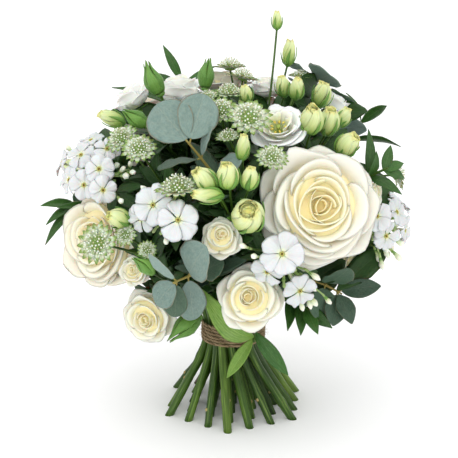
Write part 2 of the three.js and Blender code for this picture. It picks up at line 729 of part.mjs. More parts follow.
// Places in the waist, as rings round the middle one, each in order round the bundle
function waistRings() {
  const rings = [[], [], [], []];
  for (let q = -3; q <= 3; q++) {
    for (let r = -3; r <= 3; r++) {
      const ring = Math.max(Math.abs(q), Math.abs(r), Math.abs(q + r));
      if (ring <= 3) rings[ring].push([STEM_PITCH * (q + r / 2), STEM_PITCH * r * Math.sqrt(0.75)]);
    }
  }
  const round = (spot) => Math.atan2(spot[1], spot[0]);
  return rings.map((ring) => ring.sort((a, b) => round(a) - round(b)));
}

// Gives each stem a place in the waist: high heads inside, low heads outside, none crossing
function shareWaist(stems) {
  const reach = (stem) => Math.hypot(stem.hub[0], stem.hub[1]) / (stem.hub[2] - TIE.z + 20);
  const round = (p) => Math.atan2(p[1], p[0]);
  const inOrder = [...stems].sort((a, b) => reach(a) - reach(b));
  for (const ring of waistRings()) {
    const group = inOrder.splice(0, ring.length).sort((a, b) => round(a.hub) - round(b.hub));
    let best = Infinity;
    let first = 0;
    for (let shift = 0; shift < ring.length; shift++) {
      const away = group.map((stem, k) => {
        const turn = round(ring[(k + shift) % ring.length]) - round(stem.hub);
        return 1 - Math.cos(turn);
      });
      const total = away.reduce((a, b) => a + b, 0);
      if (total < best) [best, first] = [total, shift];
    }
    group.forEach((stem, k) => {
      stem.spot = ring[(k + first) % ring.length];
    });
  }
}

// A smooth first route between two points that leaves and arrives in given directions
function firstRoute(from, leaving, to, arriving) {
  const length = size(sub(to, from));
  const count = Math.max(3, Math.ceil(length / ROUTE.step));
  const route = [];
  for (let k = 0; k <= count; k++) {
    const t = k / count;
    const [a, b] = [2 * t ** 3 - 3 * t ** 2 + 1, t ** 3 - 2 * t ** 2 + t];
    const [c, d] = [-2 * t ** 3 + 3 * t ** 2, t ** 3 - t ** 2];
    const start = add(scale(from, a), leaving, b * length);
    route.push(add(add(start, to, c), arriving, d * length));
  }
  return route;
}

// Bends routes clear of each other and of the blooms; both ends of each route stay
function bendClear(routes, balls) {
  const points = [];
  routes.forEach((route) => {
    route.points.forEach((p, k) => {
      const free = k > 0 && k < route.points.length - 1;
      const radius = k > route.firstNode ? route.stem.branch : route.radius;
      points.push({ p, route, k, free, radius });
    });
  });
  for (let round = 0; round < ROUTE.rounds; round++) {
    const moves = points.map(() => [0, 0, 0]);
    for (let i = 0; i < points.length; i++) {
      const a = points[i];
      for (let j = i + 1; j < points.length; j++) {
        const b = points[j];
        const sameStem = a.route.stem === b.route.stem;
        if (a.route === b.route || (sameStem && (a.k < 3 || b.k < 3))) continue;
        const gap = sub(a.p, b.p);
        const need = a.radius + b.radius + ROUTE.gap;
        const far = size(gap);
        if (far >= need || far < 1e-6) continue;
        const push = scale(gap, (0.5 * (need - far)) / far);
        moves[i] = add(moves[i], push);
        moves[j] = add(moves[j], push, -1);
      }
      for (const room of balls) {
        if (room.route === a.route.name) continue;
        const gap = sub(a.p, room.centre);
        const need = a.radius + room.radius + ROUTE.headGap;
        const far = size(gap);
        if (far >= need || far < 1e-6) continue;
        moves[i] = add(moves[i], gap, (0.6 * (need - far)) / far);
      }
    }
    let first = 0;
    for (const route of routes) {
      for (let k = 1; k < route.points.length - 1; k++) {
        const [before, here, after] = [-1, 0, 1].map((d) => points[first + k + d].p);
        moves[first + k] = add(moves[first + k], sub(mix(before, after, 0.5), here), ROUTE.smooth);
      }
      first += route.points.length;
    }
    points.forEach((point, i) => {
      if (point.free) point.p = add(point.p, moves[i]);
    });
  }
  let first = 0;
  for (const route of routes) {
    route.points = route.points.map((_, k) => points[first + k].p);
    first += route.points.length;
  }
}

// Stems with their heads, rooms that stems keep out of, and finished nodes, gathered from the lists
const stems = [];
const balls = [];
const nodes = [];

// One named piece; its origin is where it is placed in the bouquet
function addNode(kind, name, look, origin, body) {
  nodes.push({ kind, name, look, origin, body });
}

// The room a head takes, as a ball at its middle and six round its rim
function addBalls(middle, aim, radius, core, rim, route) {
  const place = placer(middle, aim);
  balls.push({ centre: middle, radius: core * radius, route });
  for (let k = 0; rim > 0 && k < 6; k++) {
    const angle = (Math.PI * k) / 3;
    const centre = place([0.72 * radius * Math.cos(angle), 0.72 * radius * Math.sin(angle), 0]);
    balls.push({ centre, radius: rim * radius, route });
  }
}

// One cut stem with its heads: each has the end of its branch and the direction it arrives in
function addStem(name, shape, heads) {
  const middle = scale(heads.reduce((sum, head) => add(sum, head.end), [0, 0, 0]), 1 / heads.length);
  const hub = heads.length === 1 ? heads[0].end : mix(middle, [0, 0, TIE.z + 40], HUB_PULL);
  const stem = { name, ...shape, look: 'stem', heads, hub };
  stems.push(stem);
  return stem;
}

// An open bloom as a node of its own; returns the branch end with the calyx that holds it
function addBloom(kind, name, look, [face, aim, radius, petals], style, seed, route) {
  const depth = style.depth * radius;
  const base = add(face, aim, -0.7 * depth);
  addBalls(add(base, aim, 0.5 * depth), aim, radius, 0.6, 0.26, route);
  addNode(kind, name, look, base, bloom(base, aim, radius, depth, petals, style, seed));
  return { end: add(base, aim, -0.14 * depth), arrive: aim, extra: calyx(base, aim, radius, depth), route };
}

// A closed bud as the end of a branch
function addBud(middle, aim, length, radius, sepals, reach, route) {
  addBalls(middle, aim, radius, 1.05, 0, route);
  return { end: add(middle, aim, -0.4 * length), arrive: aim,
    extra: bud(middle, aim, length, radius, sepals, reach), route };
}

function addLargeRoses() {
  LARGE_ROSES.forEach((rose, k) => {
    const name = `large_rose_${k + 1}`;
    const head = addBloom('large_roses', name, 'cream', rose, LARGE_ROSE, 11 + k, `rose${k}`);
    addStem(`large_rose_stem_${k + 1}`, STEMS.largeRose, [head]);
  });
}

function addSprayRoses() {
  let count = 0;
  SPRAY_ROSES.forEach((blooms, k) => {
    const heads = blooms.map((rose, j) => {
      count += 1;
      const name = `spray_rose_${count}`;
      return addBloom('spray_roses', name, 'cream', rose, SPRAY_ROSE, 53 + 5 * k + j, `spray${k}${j}`);
    });
    ROSE_BUDS[k].forEach(([middle, aim, length], j) => {
      heads.push(addBud(middle, aim, length, 0.36 * length, 3, 1.15, `rosebud${k}${j}`));
    });
    addStem(`spray_rose_stem_${k + 1}`, STEMS.sprayRose, heads);
  });
}

function addLisianthus() {
  let count = 0;
  LISIANTHUS_BUDS.forEach((buds, k) => {
    const heads = LISIANTHUS_FLOWERS[k].map((flower, j) => {
      count += 1;
      const name = `lisianthus_flower_${count}`;
      return addBloom('lisianthus_flowers', name, 'white', flower, LISIANTHUS, 71 + k, `open${k}${j}`);
    });
    buds.forEach(([middle, aim, length, radius], j) => {
      const sepals = radius > 8.2 ? 3 : 2;
      heads.push(addBud(middle, aim, length, radius, sepals, 0.5, `bud${k}${j}`));
    });
    addStem(`lisianthus_stem_${k + 1}`, STEMS.lisianthus, heads);
  });
}

function addAstrantia() {
  ASTRANTIA.forEach((list, k) => {
    const heads = list.map(([middle, aim, radius], j) => {
      const route = `star${k}${j}`;
      addBalls(add(middle, aim, 0.1 * radius), aim, radius, 0.4, 0.22, route);
      const extra = astrantiaHead(middle, aim, radius);
      return { end: add(middle, aim, -0.18 * radius), arrive: aim, extra, route };
    });
    addStem(`astrantia_spray_${k + 1}`, STEMS.astrantia, heads);
  });
}

// White phlox clusters, each on a stem with slim buds
function addPhlox() {
  PHLOX.forEach((florets, k) => {
    const route = `phlox${k}`;
    const sum = (n) => florets.reduce((total, floret) => add(total, floret[n]), [0, 0, 0]);
    const aim = unit(sum(1));
    const hub = add(scale(sum(0), 1 / florets.length), aim, -PHLOX_TUBE);
    const under = add(hub, aim, -3);
    const pieces = [turned(under, aim, 5, 0, [[2, 1], [3, 3.5]], 5.5)];
    florets.forEach(([place, facingOut, radius]) => {
      pieces.push(phloxFloret(place, facingOut, radius, hub));
      addBalls(add(place, facingOut, -2), facingOut, radius, 0.7, 0, route);
      addBalls(mix(place, hub, 0.5), facingOut, 4, 1, 0, route);
    });
    addNode('phlox_flowers', `phlox_flowers_${k + 1}`, 'white', hub, fuse(pieces));
    const heads = [{ end: add(under, aim, -CLEARANCE), arrive: aim, extra: [], route }];
    PHLOX_BUDS[k].forEach((tip, j) => {
      const away = unit(sub(tip, heads[0].end));
      const extra = bud(add(tip, away, -7), away, 14, 2.2, 0, 0);
      heads.push({ end: add(tip, away, -14), arrive: away, extra, route: `slim${k}${j}` });
    });
    const stem = addStem(`phlox_stem_${k + 1}`, STEMS.phlox, heads);
    stem.hub = add(heads[0].end, aim, -16);
  });
}

// Foliage: a leafy tip whose leaves are set on once the routes are settled
function addFoliage(name, look, shape, [spine, leaves]) {
  const stem = { name, look, ...shape, heads: [], hub: spine[0], spine, leaves };
  leaves.forEach(([at, tip, width]) => {
    for (const share of [0.35, 0.6, 0.85]) {
      balls.push({ centre: mix(spine[at], tip, share), radius: 0.3 * width, route: name });
    }
  });
  stems.push(stem);
}

// A leaf of a spray, from its node to its tip; its face is turned outward unless it is given
function sprayLeaf(stem, [at, tip, width, face]) {
  const outward = face ?? unit(sub(tip, [0, 0, DOME.centreZ - 60]));
  const back = unit(sub(stem.nodes[1], stem.nodes[2]));
  const root = add(stem.nodes[at], back, at === 2 ? LEAF_ROOT : 0);
  return blade(root, tip, outward, width, stem.leaf);
}

// Routes of all stems and their branches, bent clear of each other
function layRoutes() {
  shareWaist(stems);
  const routes = [];
  stems.forEach((stem) => {
    const [low, high] = [TIE.z + 12, STEM.top].map((z) => atHeight(stem.spot, z));
    const single = stem.heads.length === 1;
    const upright = unit(sub(stem.hub, [0, 0, TIE.z]));
    const tipward = stem.spine ? unit(sub(stem.spine[1], stem.spine[0])) : upright;
    const arriving = single ? stem.heads[0].arrive : tipward;
    const points = firstRoute(high, unit(sub(high, low)), stem.hub, arriving);
    const firstNode = points.length - 1;
    for (let leg = 1; stem.spine && leg < 3; leg++) {
      for (const share of [1 / 3, 2 / 3, 1]) points.push(mix(stem.spine[leg - 1], stem.spine[leg], share));
    }
    const name = single ? stem.heads[0].route : stem.name;
    stem.main = { points, firstNode, radius: STEM.radius, stem, name };
    stem.branches = single ? [] : stem.heads.map((head) => {
      const away = unit(sub(head.end, stem.hub));
      const start = add(stem.hub, arriving, -4);
      const route = firstRoute(start, mix(arriving, away, 0.6), head.end, head.arrive);
      return { points: route, radius: stem.branch, stem, name: head.route };
    });
    routes.push(stem.main, ...stem.branches);
  });
  bendClear(routes, balls);
}

// Twine wound round the waist: ridged outside, and following the stems inside
function binding() {
  const rim = (STEM_PITCH * 3 + STEM.flat + CLEARANCE) / Math.cos(Math.PI / TIE.sides);
  const low = TIE.z - (TIE.turns * TIE.twine) / 2;
  const high = TIE.z + (TIE.turns * TIE.twine) / 2;
  const inside = (z) => rim * fan(z) + CLEARANCE;
  const profile = [];
  for (let k = 0; k < TIE.turns; k++) {
    for (const [share, out] of [[0.1, 0.55], [0.5, 1]]) {
      const z = low + (k + share) * TIE.twine;
      profile.push([inside(z) + out * TIE.twine, z]);
    }
  }
  profile.push([inside(high) + 0.5 * TIE.twine, high]);
  for (const z of [high, TIE.z, low]) profile.push([inside(z), z]);
  const points = [];
  const rings = profile.map(([radius, z], k) => Array.from({ length: TIE.sides }, (_, j) => {
    const angle = (2 * Math.PI * j) / TIE.sides;
    points.push([radius * Math.cos(angle), radius * Math.sin(angle), z]);
    return k * TIE.sides + j;
  }));
  return solid(points, between([...rings, rings[0]]));
}

// Stems as solids with all they carry, cut flat for the floor
function addStemNodes() {
  const floor = fromGeometry(new THREE.BoxGeometry(400, 400, 40).translate(0, 0, -20));
  stems.forEach((stem) => {
    const low = STEM.heights.map((z) => atHeight(stem.spot, z));
    const { points, firstNode } = stem.main;
    const route = [...low, ...thinned(points.slice(0, firstNode + 1), ROUTE.thin)];
    const pieces = [stalk(route, STEM.radius, STEM.sides, STEM.heights.indexOf(TIE.z))];
    if (stem.spine) {
      stem.nodes = [0, 3, 6].map((step) => points[firstNode + step]);
      pieces.push(stalk([points[firstNode - 1], ...stem.nodes], stem.branch, 4));
    }
    for (const branch of stem.branches) {
      pieces.push(stalk(thinned(branch.points, ROUTE.thin), branch.radius, 3));
    }
    stem.heads.forEach((head) => pieces.push(...head.extra));
    stem.leaves?.forEach((leaf) => pieces.push(sprayLeaf(stem, leaf)));
    const foot = atHeight(stem.spot, 0);
    addNode(stem.kind, stem.name, stem.look, foot, fuse([fuse(pieces).subtract(floor)]));
  });
}

// What a lower piece would share with an earlier one is notched out of it, with a small gap
function clear(body, other) {
  const shared = body.intersect(other);
  if (shared.volume() < 1e-4) return body;
  const notches = shared.decompose().map((spot) => {
    const { min, max } = spot.boundingBox();
    const sides = [0, 1, 2].map((n) => max[n] - min[n] + 2 * CLEARANCE);
    const middle = [0, 1, 2].map((n) => (max[n] + min[n]) / 2);
    return fromGeometry(new THREE.BoxGeometry(...sides).translate(...middle));
  });
  return fuse([body.subtract(wasm.Manifold.union(notches))]);
}

// The bouquet: a group for each kind of piece, with the middle of its outline over the origin
function assemble() {
  nodes.forEach((node, k) => {
    for (const other of nodes.slice(0, k)) node.body = clear(node.body, other.body);
  });
  const bouquet = new THREE.Group();
  bouquet.name = 'rose_and_eucalyptus_bouquet';
  const kinds = new Map();
  nodes.forEach(({ kind, name, look, origin, body }) => {
    if (!kinds.has(kind)) {
      const group = new THREE.Group();
      group.name = kind;
      kinds.set(kind, group);
      bouquet.add(group);
    }
    const geometry = toGeometry(body.translate(scale(origin, -1)));
    geometry.computeVertexNormals();
    const [color, roughness] = LOOKS[look];
    const material = new THREE.MeshStandardMaterial({ color, roughness, metalness: 0 });
    const piece = new THREE.Mesh(geometry, material);
    piece.name = name;
    piece.position.set(...origin);
    kinds.get(kind).add(piece);
  });
  const middle = new THREE.Box3().setFromObject(bouquet).getCenter(new THREE.Vector3());
  kinds.forEach((group) => group.position.set(-middle.x, -middle.y, 0));
  return bouquet;
}

addLargeRoses();
addSprayRoses();
addLisianthus();
addPhlox();
addAstrantia();
EUCALYPTUS.forEach((spray, k) => {
  addFoliage(`eucalyptus_spray_${k + 1}`, 'eucalyptus', STEMS.eucalyptus, spray);
});
RUSCUS.forEach((spray, k) => {
  addFoliage(`ruscus_spray_${k + 1}`, 'ruscus', STEMS.ruscus, spray);
});
addFoliage('broad_leaf_spray', 'broad', STEMS.broad, BROAD_LEAVES);
layRoutes();
addNode('binding', 'twine_binding', 'twine', [0, 0, TIE.z], binding());
addStemNodes();

export default assemble();
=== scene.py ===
# Rose and eucalyptus bouquet: fine flowers, leaves and twine over the CAD frame
import math
import bpy
import numpy as np
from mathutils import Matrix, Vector


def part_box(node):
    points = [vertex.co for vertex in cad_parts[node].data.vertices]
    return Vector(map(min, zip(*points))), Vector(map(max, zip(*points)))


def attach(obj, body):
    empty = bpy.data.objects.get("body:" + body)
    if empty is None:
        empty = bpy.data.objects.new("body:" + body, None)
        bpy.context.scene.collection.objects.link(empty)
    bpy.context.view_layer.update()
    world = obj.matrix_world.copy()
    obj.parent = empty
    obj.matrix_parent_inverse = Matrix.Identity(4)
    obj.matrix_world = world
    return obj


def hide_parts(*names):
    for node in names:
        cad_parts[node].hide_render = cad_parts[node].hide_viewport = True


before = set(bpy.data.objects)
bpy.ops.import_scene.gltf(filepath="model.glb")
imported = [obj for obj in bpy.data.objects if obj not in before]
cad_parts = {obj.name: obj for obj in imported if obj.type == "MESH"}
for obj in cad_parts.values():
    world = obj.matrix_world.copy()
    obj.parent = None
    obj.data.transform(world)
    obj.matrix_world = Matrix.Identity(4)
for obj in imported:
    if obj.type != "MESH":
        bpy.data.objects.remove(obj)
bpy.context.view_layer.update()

# Dimensions shared with the CAD model, in millimetres
DOME = {"radius": 142, "height": 106, "centreZ": 186}
TIE = {"z": 70, "top": 82}
STEM = {"radius": 3.6, "flat": 3.1, "top": 96, "below": -12, "knee": 56}
STEM_PITCH = 2 * STEM["flat"] + 0.4
FEET = {"spread": 3.05, "twist": 0.4, "flare": 31.3}
PHLOX_TUBE = 24
HUB_PULL = 0.35
ROUTE = {"rounds": 130, "gap": 3, "headGap": 1.6, "smooth": 0.3, "step": 8}
BRANCH = {"spray": 1.5, "lisianthus": 1.1, "phlox": 1, "astrantia": 1.1, "eucalyptus": 2, "ruscus": 1.8,
          "broad": 2.2}

# The photo's view: elevation in degrees, distance in millimetres, focal length and sizes in pixels
VIEW = {"elevation": 17, "distance": 1250, "focal": 1470, "middle": 229, "axisX": -3.8, "aimZ": 160}
PHOTO_WIDTH = 458

# Angles in radians: a turn, a fifth of one, and the turn from one floret or petal of a spiral to the next
ROUND, FIFTH, SPIRAL = 6.28, 1.2566, 2.4

# The bouquet's own origin is on the floor, in the middle of the twine
low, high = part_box("twine_binding")
SHIFT = np.array([500 * (low.x + high.x), 500 * (low.y + high.y), 0])


# Vectors
def vec(*v):
    return np.array(v, float)


def unit(v):
    return v / np.linalg.norm(v)


def mix(a, b, k):
    return a * (1 - k) + b * k


def smooth(x, low, high):
    k = np.clip((x - low) / (high - low), 0, 1)
    return k * k * (3 - 2 * k)


def spoke(turn, across, over):
    """The direction at an angle between two axes."""
    return math.cos(turn) * across + math.sin(turn) * over


def any_turn(random, count=None):
    return ROUND * random.random(count)


tilt = math.radians(VIEW["elevation"])
VIEW_RIGHT = vec(1, 0, 0)
VIEW_UP = vec(0, math.sin(tilt), math.cos(tilt))
VIEW_BACK = vec(0, -math.cos(tilt), math.sin(tilt))
EYE = vec(VIEW["axisX"], 0, VIEW["aimZ"]) + VIEW_BACK * VIEW["distance"]


def view(right, up, toward):
    return unit(VIEW_RIGHT * right + VIEW_UP * up + VIEW_BACK * toward)


def facing(round_, up):
    a, e = math.radians(round_), math.radians(up)
    return vec(math.sin(a) * math.cos(e), -math.cos(a) * math.cos(e), math.sin(e))


def ray_of(column, row):
    right = (column - VIEW["middle"]) / VIEW["focal"]
    up = (VIEW["middle"] - row) / VIEW["focal"]
    return VIEW_RIGHT * right + VIEW_UP * up - VIEW_BACK


def seen(column, row, reach):
    ray = ray_of(column, row)
    squash = vec(DOME["radius"], DOME["radius"], DOME["height"]) * reach
    d, o = ray / squash, (EYE - vec(0, 0, DOME["centreZ"])) / squash
    half = (d @ o) / (d @ d)
    rest = half * half - (o @ o - 1) / (d @ d)
    return EYE + ray * (-half - math.sqrt(max(0, rest)))


def around(round_, up, reach):
    d = facing(round_, up)
    grown = vec(DOME["radius"], DOME["radius"], DOME["height"]) * reach
    return vec(0, 0, DOME["centreZ"]) + d * grown


def ahead(column, row, y):
    ray = ray_of(column, row)
    return EYE + ray * ((y - EYE[1]) / ray[1])


def seeded(seed):
    return np.random.default_rng(seed)


# Large roses: middle of the face, aim, radius
LARGE_ROSES = [
  [seen(320, 205, 0.96), view(0.1, 0.12, 1), 47],
  [seen(94, 240, 0.9), view(-0.75, -0.05, 0.85), 40],
  [around(150, 12, 0.9), facing(150, 12), 42],
  [around(-138, 28, 0.9), facing(-138, 26), 42],
]

# Spray roses by cut stem: middle of the face, aim, radius
SPRAY_ROSES = [
  [[seen(145, 319, 0.98), view(-0.4, -0.25, 1), 23], [seen(133, 271, 0.9), view(-0.4, 0.1, 1), 13]],
  [[seen(251, 299, 0.98), view(0.05, 0.05, 1), 26], [seen(220, 237, 0.92), view(-0.1, 0.15, 1), 16]],
  [[seen(132, 98, 0.98), view(-0.5, 0.8, 0.1), 17], [seen(180, 90, 0.92), view(0, 0.9, 0.25), 20]],
  [[seen(266, 87, 0.9), view(0, 0.9, 0.3), 14], [seen(335, 104, 0.88), view(0.5, 0.8, 0.2), 15]],
  [[seen(352, 262, 0.84), view(0.6, -0.3, 0.7), 15], [seen(377, 192, 0.96), view(0.9, 0.2, 0.4), 12]],
  [[around(-168, 62, 0.98), facing(-168, 66), 22], [around(-172, -14, 0.95), facing(-172, -8), 23]],
]

# Green rose buds with long sepals, on the spray rose stem of the same rank: middle, aim, length
ROSE_BUDS = [
  [
    [seen(146, 266, 1.03), view(-0.5, 0.6, 0.6), 17],
    [seen(187, 325, 0.9), view(-0.8, -0.6, 0.4), 25],
  ],
  [],
  [
    [seen(154, 82, 1.1), view(-0.5, 0.9, 0.3), 22],
    [seen(206, 77, 1.02), view(0.1, 1, 0.1), 19],
    [seen(137, 119, 1.02), view(-0.8, 0.5, 0.4), 19],
  ],
  [],
  [],
  [[around(-160, -2, 1.02), facing(-160, 6), 22]],
]

# Open lisianthus flowers on the cut stem of the same rank: middle, aim, radius
LISIANTHUS_FLOWERS = [
  [[seen(278, 125, 0.97), view(-0.15, 0.6, 0.85), 22.5]],
  [],
  [],
  [],
  [[around(-178, 20, 0.98), facing(-178, 22), 24]],
]

# Lisianthus buds by cut stem: middle, aim, length, radius
LISIANTHUS_BUDS = [
  [
    [seen(277, 20, 1), view(0, 1, 0.1), 16, 4],
    [seen(289, 52, 1), view(0.1, 1, 0.1), 23, 5.5],
    [seen(283, 86, 0.98), view(-0.2, 1, 0.2), 18, 6],
    [seen(297, 88, 1.02), view(0.1, 1, 0.3), 19, 6],
    [seen(246, 93, 1.02), view(-0.3, 1, 0.3), 15, 5],
  ],
  [
    [seen(322, 94, 1.0), view(0.15, 1, 0.3), 22, 8],
    [seen(312, 119, 1.07), view(0, 0.8, 0.7), 26, 9],
    [seen(329, 121, 1.03), view(0.1, 0.8, 0.6), 25, 8.5],
    [seen(343, 117, 1.0), view(0.5, 0.9, 0.2), 18, 6],
    [seen(348, 144, 1.03), view(0.6, 0.6, 0.6), 23, 8.5],
  ],
  [
    [seen(205, 179, 1.08), view(-0.7, 0.6, 0.5), 23, 8],
    [seen(228, 175, 1.09), view(-0.15, 0.9, 0.5), 22, 8.5],
    [seen(207, 195, 1.08), view(-1, 0.05, 0.3), 24, 6],
    [seen(243, 147, 1.04), view(0.1, 1, 0.3), 21, 5],
    [seen(250, 178, 1.07), view(0.1, 1, 0.3), 18, 6.5],
    [seen(248, 215, 1.02), view(0.05, 0.4, 1), 25, 12],
  ],
  [
    [seen(118, 218, 1.03), view(-0.9, 0.2, 0.6), 20, 7.5],
    [seen(111, 118, 1.03), view(-1, 0.4, 0.1), 23, 6],
    [around(-100, 12, 1.0), facing(-100, 24), 20, 7],
  ],
  [
    [around(150, -13, 1.0), facing(150, -5), 22, 8],
    [around(161, -18, 1.0), facing(161, -12), 23, 8],
    [around(170, -2, 1.02), facing(170, 14), 19, 6],
    [around(-172, 4, 1.02), facing(-172, 12), 20, 7],
  ],
]

# Astrantia heads by cut stem: middle, aim, radius
ASTRANTIA = [
  [
    [seen(97, 243, 1.12), view(-0.35, 0.05, 1), 16],
    [seen(125, 235, 1.02), view(-0.1, 0.3, 1), 9],
    [seen(147, 250, 1.0), view(0.1, 0.4, 1), 8],
  ],
  [
    [seen(121, 138, 1.02), view(-0.4, 0.65, 0.7), 14],
    [seen(139, 148, 1.05), view(-0.1, 0.6, 0.8), 14],
    [seen(178, 187, 1.05), view(-0.1, 0.9, 0.45), 17],
  ],
  [
    [seen(249, 117, 1.06), view(0.1, 0.6, 0.8), 18],
    [seen(221, 110, 1.04), view(-0.1, 0.7, 0.75), 14],
    [seen(229, 92, 1.0), view(0, 0.95, 0.4), 13],
    [seen(207, 97, 1.0), view(-0.3, 0.8, 0.5), 10],
    [seen(243, 77, 0.97), view(0.2, 1, 0.1), 13],
  ],
  [
    [seen(272, 157, 1.03), view(0.1, 0.7, 0.8), 13],
    [seen(300, 76, 0.97), view(0.1, 1, 0.2), 10],
    [seen(228, 136, 1.0), view(-0.1, 0.9, 0.5), 10],
  ],
  [
    [around(-176, 74, 1.04), facing(-176, 78), 14],
    [around(147, 40, 1.03), facing(147, 44), 16],
    [around(-146, 2, 1.05), facing(-146, 10), 16],
    [around(106, 6, 1.04), facing(106, 20), 14],
  ],
]

# Phlox florets by cut stem: middle, aim, radius
PHLOX = [
  [
    [seen(81, 155, 1.04), view(-0.4, 0.5, 0.8), 13],
    [seen(69, 180, 1.04), view(-0.8, 0.1, 0.6), 13],
    [seen(84, 185, 1.06), view(-0.3, -0.1, 1), 13],
    [seen(99, 169, 1.06), view(-0.1, 0.2, 1), 13],
    [seen(107, 149, 1.03), view(0.1, 0.6, 0.8), 12],
    [seen(91, 140, 1.0), view(-0.3, 0.9, 0.4), 12],
    [seen(62, 163, 0.98), view(-1, 0.3, 0.2), 12],
    [seen(103, 190, 1.04), view(0.2, -0.3, 1), 12],
  ],
  [
    [seen(153, 205, 1.04), view(-0.3, 0.2, 1), 17],
    [seen(178, 220, 1.08), view(0.05, 0.1, 1), 17],
    [seen(141, 219, 1.0), view(-0.5, -0.4, 0.8), 13],
  ],
  [
    [seen(282, 254, 1.08), view(0.0, 0.1, 1), 18],
    [seen(267, 272, 1.0), view(-0.3, -0.6, 0.8), 14],
    [seen(300, 291, 1.0), view(0.3, -0.5, 0.9), 15],
  ],
  [
    [seen(377, 216, 1.0), view(0.4, 0.3, 1), 14],
    [seen(397, 212, 1.0), view(0.9, 0.3, 0.6), 14],
    [seen(405, 230, 1.0), view(1, -0.1, 0.4), 13],
    [seen(386, 236, 1.02), view(0.5, -0.3, 1), 13],
    [seen(400, 202, 0.9), view(0.8, 0.8, 0), 13],
  ],
  [
    [around(176, 44, 1.02), facing(176, 44), 15],
    [around(163, 40, 1.0), facing(160, 38), 15],
    [around(-172, 38, 1.0), facing(-170, 34), 14],
    [around(178, 56, 1.0), facing(178, 66), 14],
    [around(160, 52, 1.0), facing(156, 56), 14],
  ],
]

# Slim phlox buds on the cut stem of the same rank: tip
PHLOX_BUDS = [
  [seen(122, 202, 1.0), seen(66, 146, 1.0)],
  [seen(166, 244, 1.02), seen(190, 242, 1.0)],
  [seen(240, 245, 1.02), seen(252, 256, 1.04), seen(314, 284, 0.98), seen(301, 305, 0.94)],
  [seen(388, 252, 1.0), seen(401, 260, 0.98), seen(380, 262, 0.98)],
  [around(170, 64, 1.02), around(158, 30, 1.04)],
]

# Eucalyptus: the tip's route, then leaves as rank of the node, tip, width, aim of the face
EUCALYPTUS = [
  [
    [seen(222, 176, 0.84), seen(206, 158, 0.99), seen(186, 140, 1.08)],
    [
      [2, seen(156, 105, 1.15), 38, view(-0.3, 0.5, 1)],
      [2, seen(204, 94, 1.15), 33, view(0.25, 0.5, 1)],
      [1, seen(158, 170, 1.07), 24, view(-0.3, 1, 0.35)],
      [1, seen(212, 126, 1.08), 15, view(-0.5, 0.6, 0.4)],
      [0, seen(242, 160, 1.0), 22, view(0.2, 0.5, 1)],
      [0, seen(193, 188, 1.0), 24, view(-0.2, 0.2, 1)],
    ],
  ],
  [
    [seen(212, 262, 0.84), seen(190, 272, 1.0), seen(173, 283, 1.07)],
    [
      [1, seen(206, 246, 1.1), 34, view(-0.1, 0.3, 1)],
      [2, seen(156, 304, 1.07), 22, view(-0.4, 0, 1)],
      [2, seen(175, 317, 1.05), 19, view(0, -0.1, 1)],
      [1, seen(193, 320, 1.0), 24, view(0.2, -0.2, 1)],
      [2, seen(149, 254, 1.1), 11, view(-0.8, 0.3, 0.7)],
      [0, seen(224, 262, 0.9), 24, view(0.1, 0.3, 1)],
    ],
  ],
  [
    [seen(306, 262, 0.68), seen(322, 280, 0.84), seen(342, 294, 0.93)],
    [
      [0, seen(300, 306, 0.86), 25, view(-0.1, -0.1, 1)],
      [1, seen(319, 320, 0.9), 25, view(0.1, -0.3, 1)],
      [1, seen(349, 268, 0.92), 24, view(0.4, 0.2, 1)],
      [2, seen(333, 326, 0.95), 20, view(0.1, -0.2, 1)],
      [2, seen(352, 324, 0.98), 17, view(0.5, -0.2, 1)],
      [2, seen(381, 286, 1.02), 17, view(0.5, 0.3, 1)],
    ],
  ],
  [
    [around(126, 36, 0.8), around(124, 48, 0.97), around(120, 58, 1.08)],
    [
      [2, around(98, 60, 1.14), 34, facing(115, 50)],
      [2, around(140, 66, 1.12), 31, facing(130, 60)],
      [1, around(102, 46, 1.05), 30, facing(110, 45)],
      [1, around(146, 54, 1.04), 29, facing(140, 60)],
      [0, around(108, 30, 0.98), 28, facing(110, 20)],
    ],
  ],
  [
    [around(-118, -22, 0.78), around(-122, -14, 0.96), around(-128, -6, 1.06)],
    [
      [2, around(-124, 8, 1.12), 30, facing(-120, 10)],
      [2, around(-140, -12, 1.1), 28, facing(-132, -10)],
      [1, around(-108, -6, 1.05), 28, facing(-112, -5)],
      [1, around(-134, -28, 1.03), 26, facing(-130, -30)],
      [0, around(-104, -26, 0.96), 24, facing(-105, -25)],
    ],
  ],
]

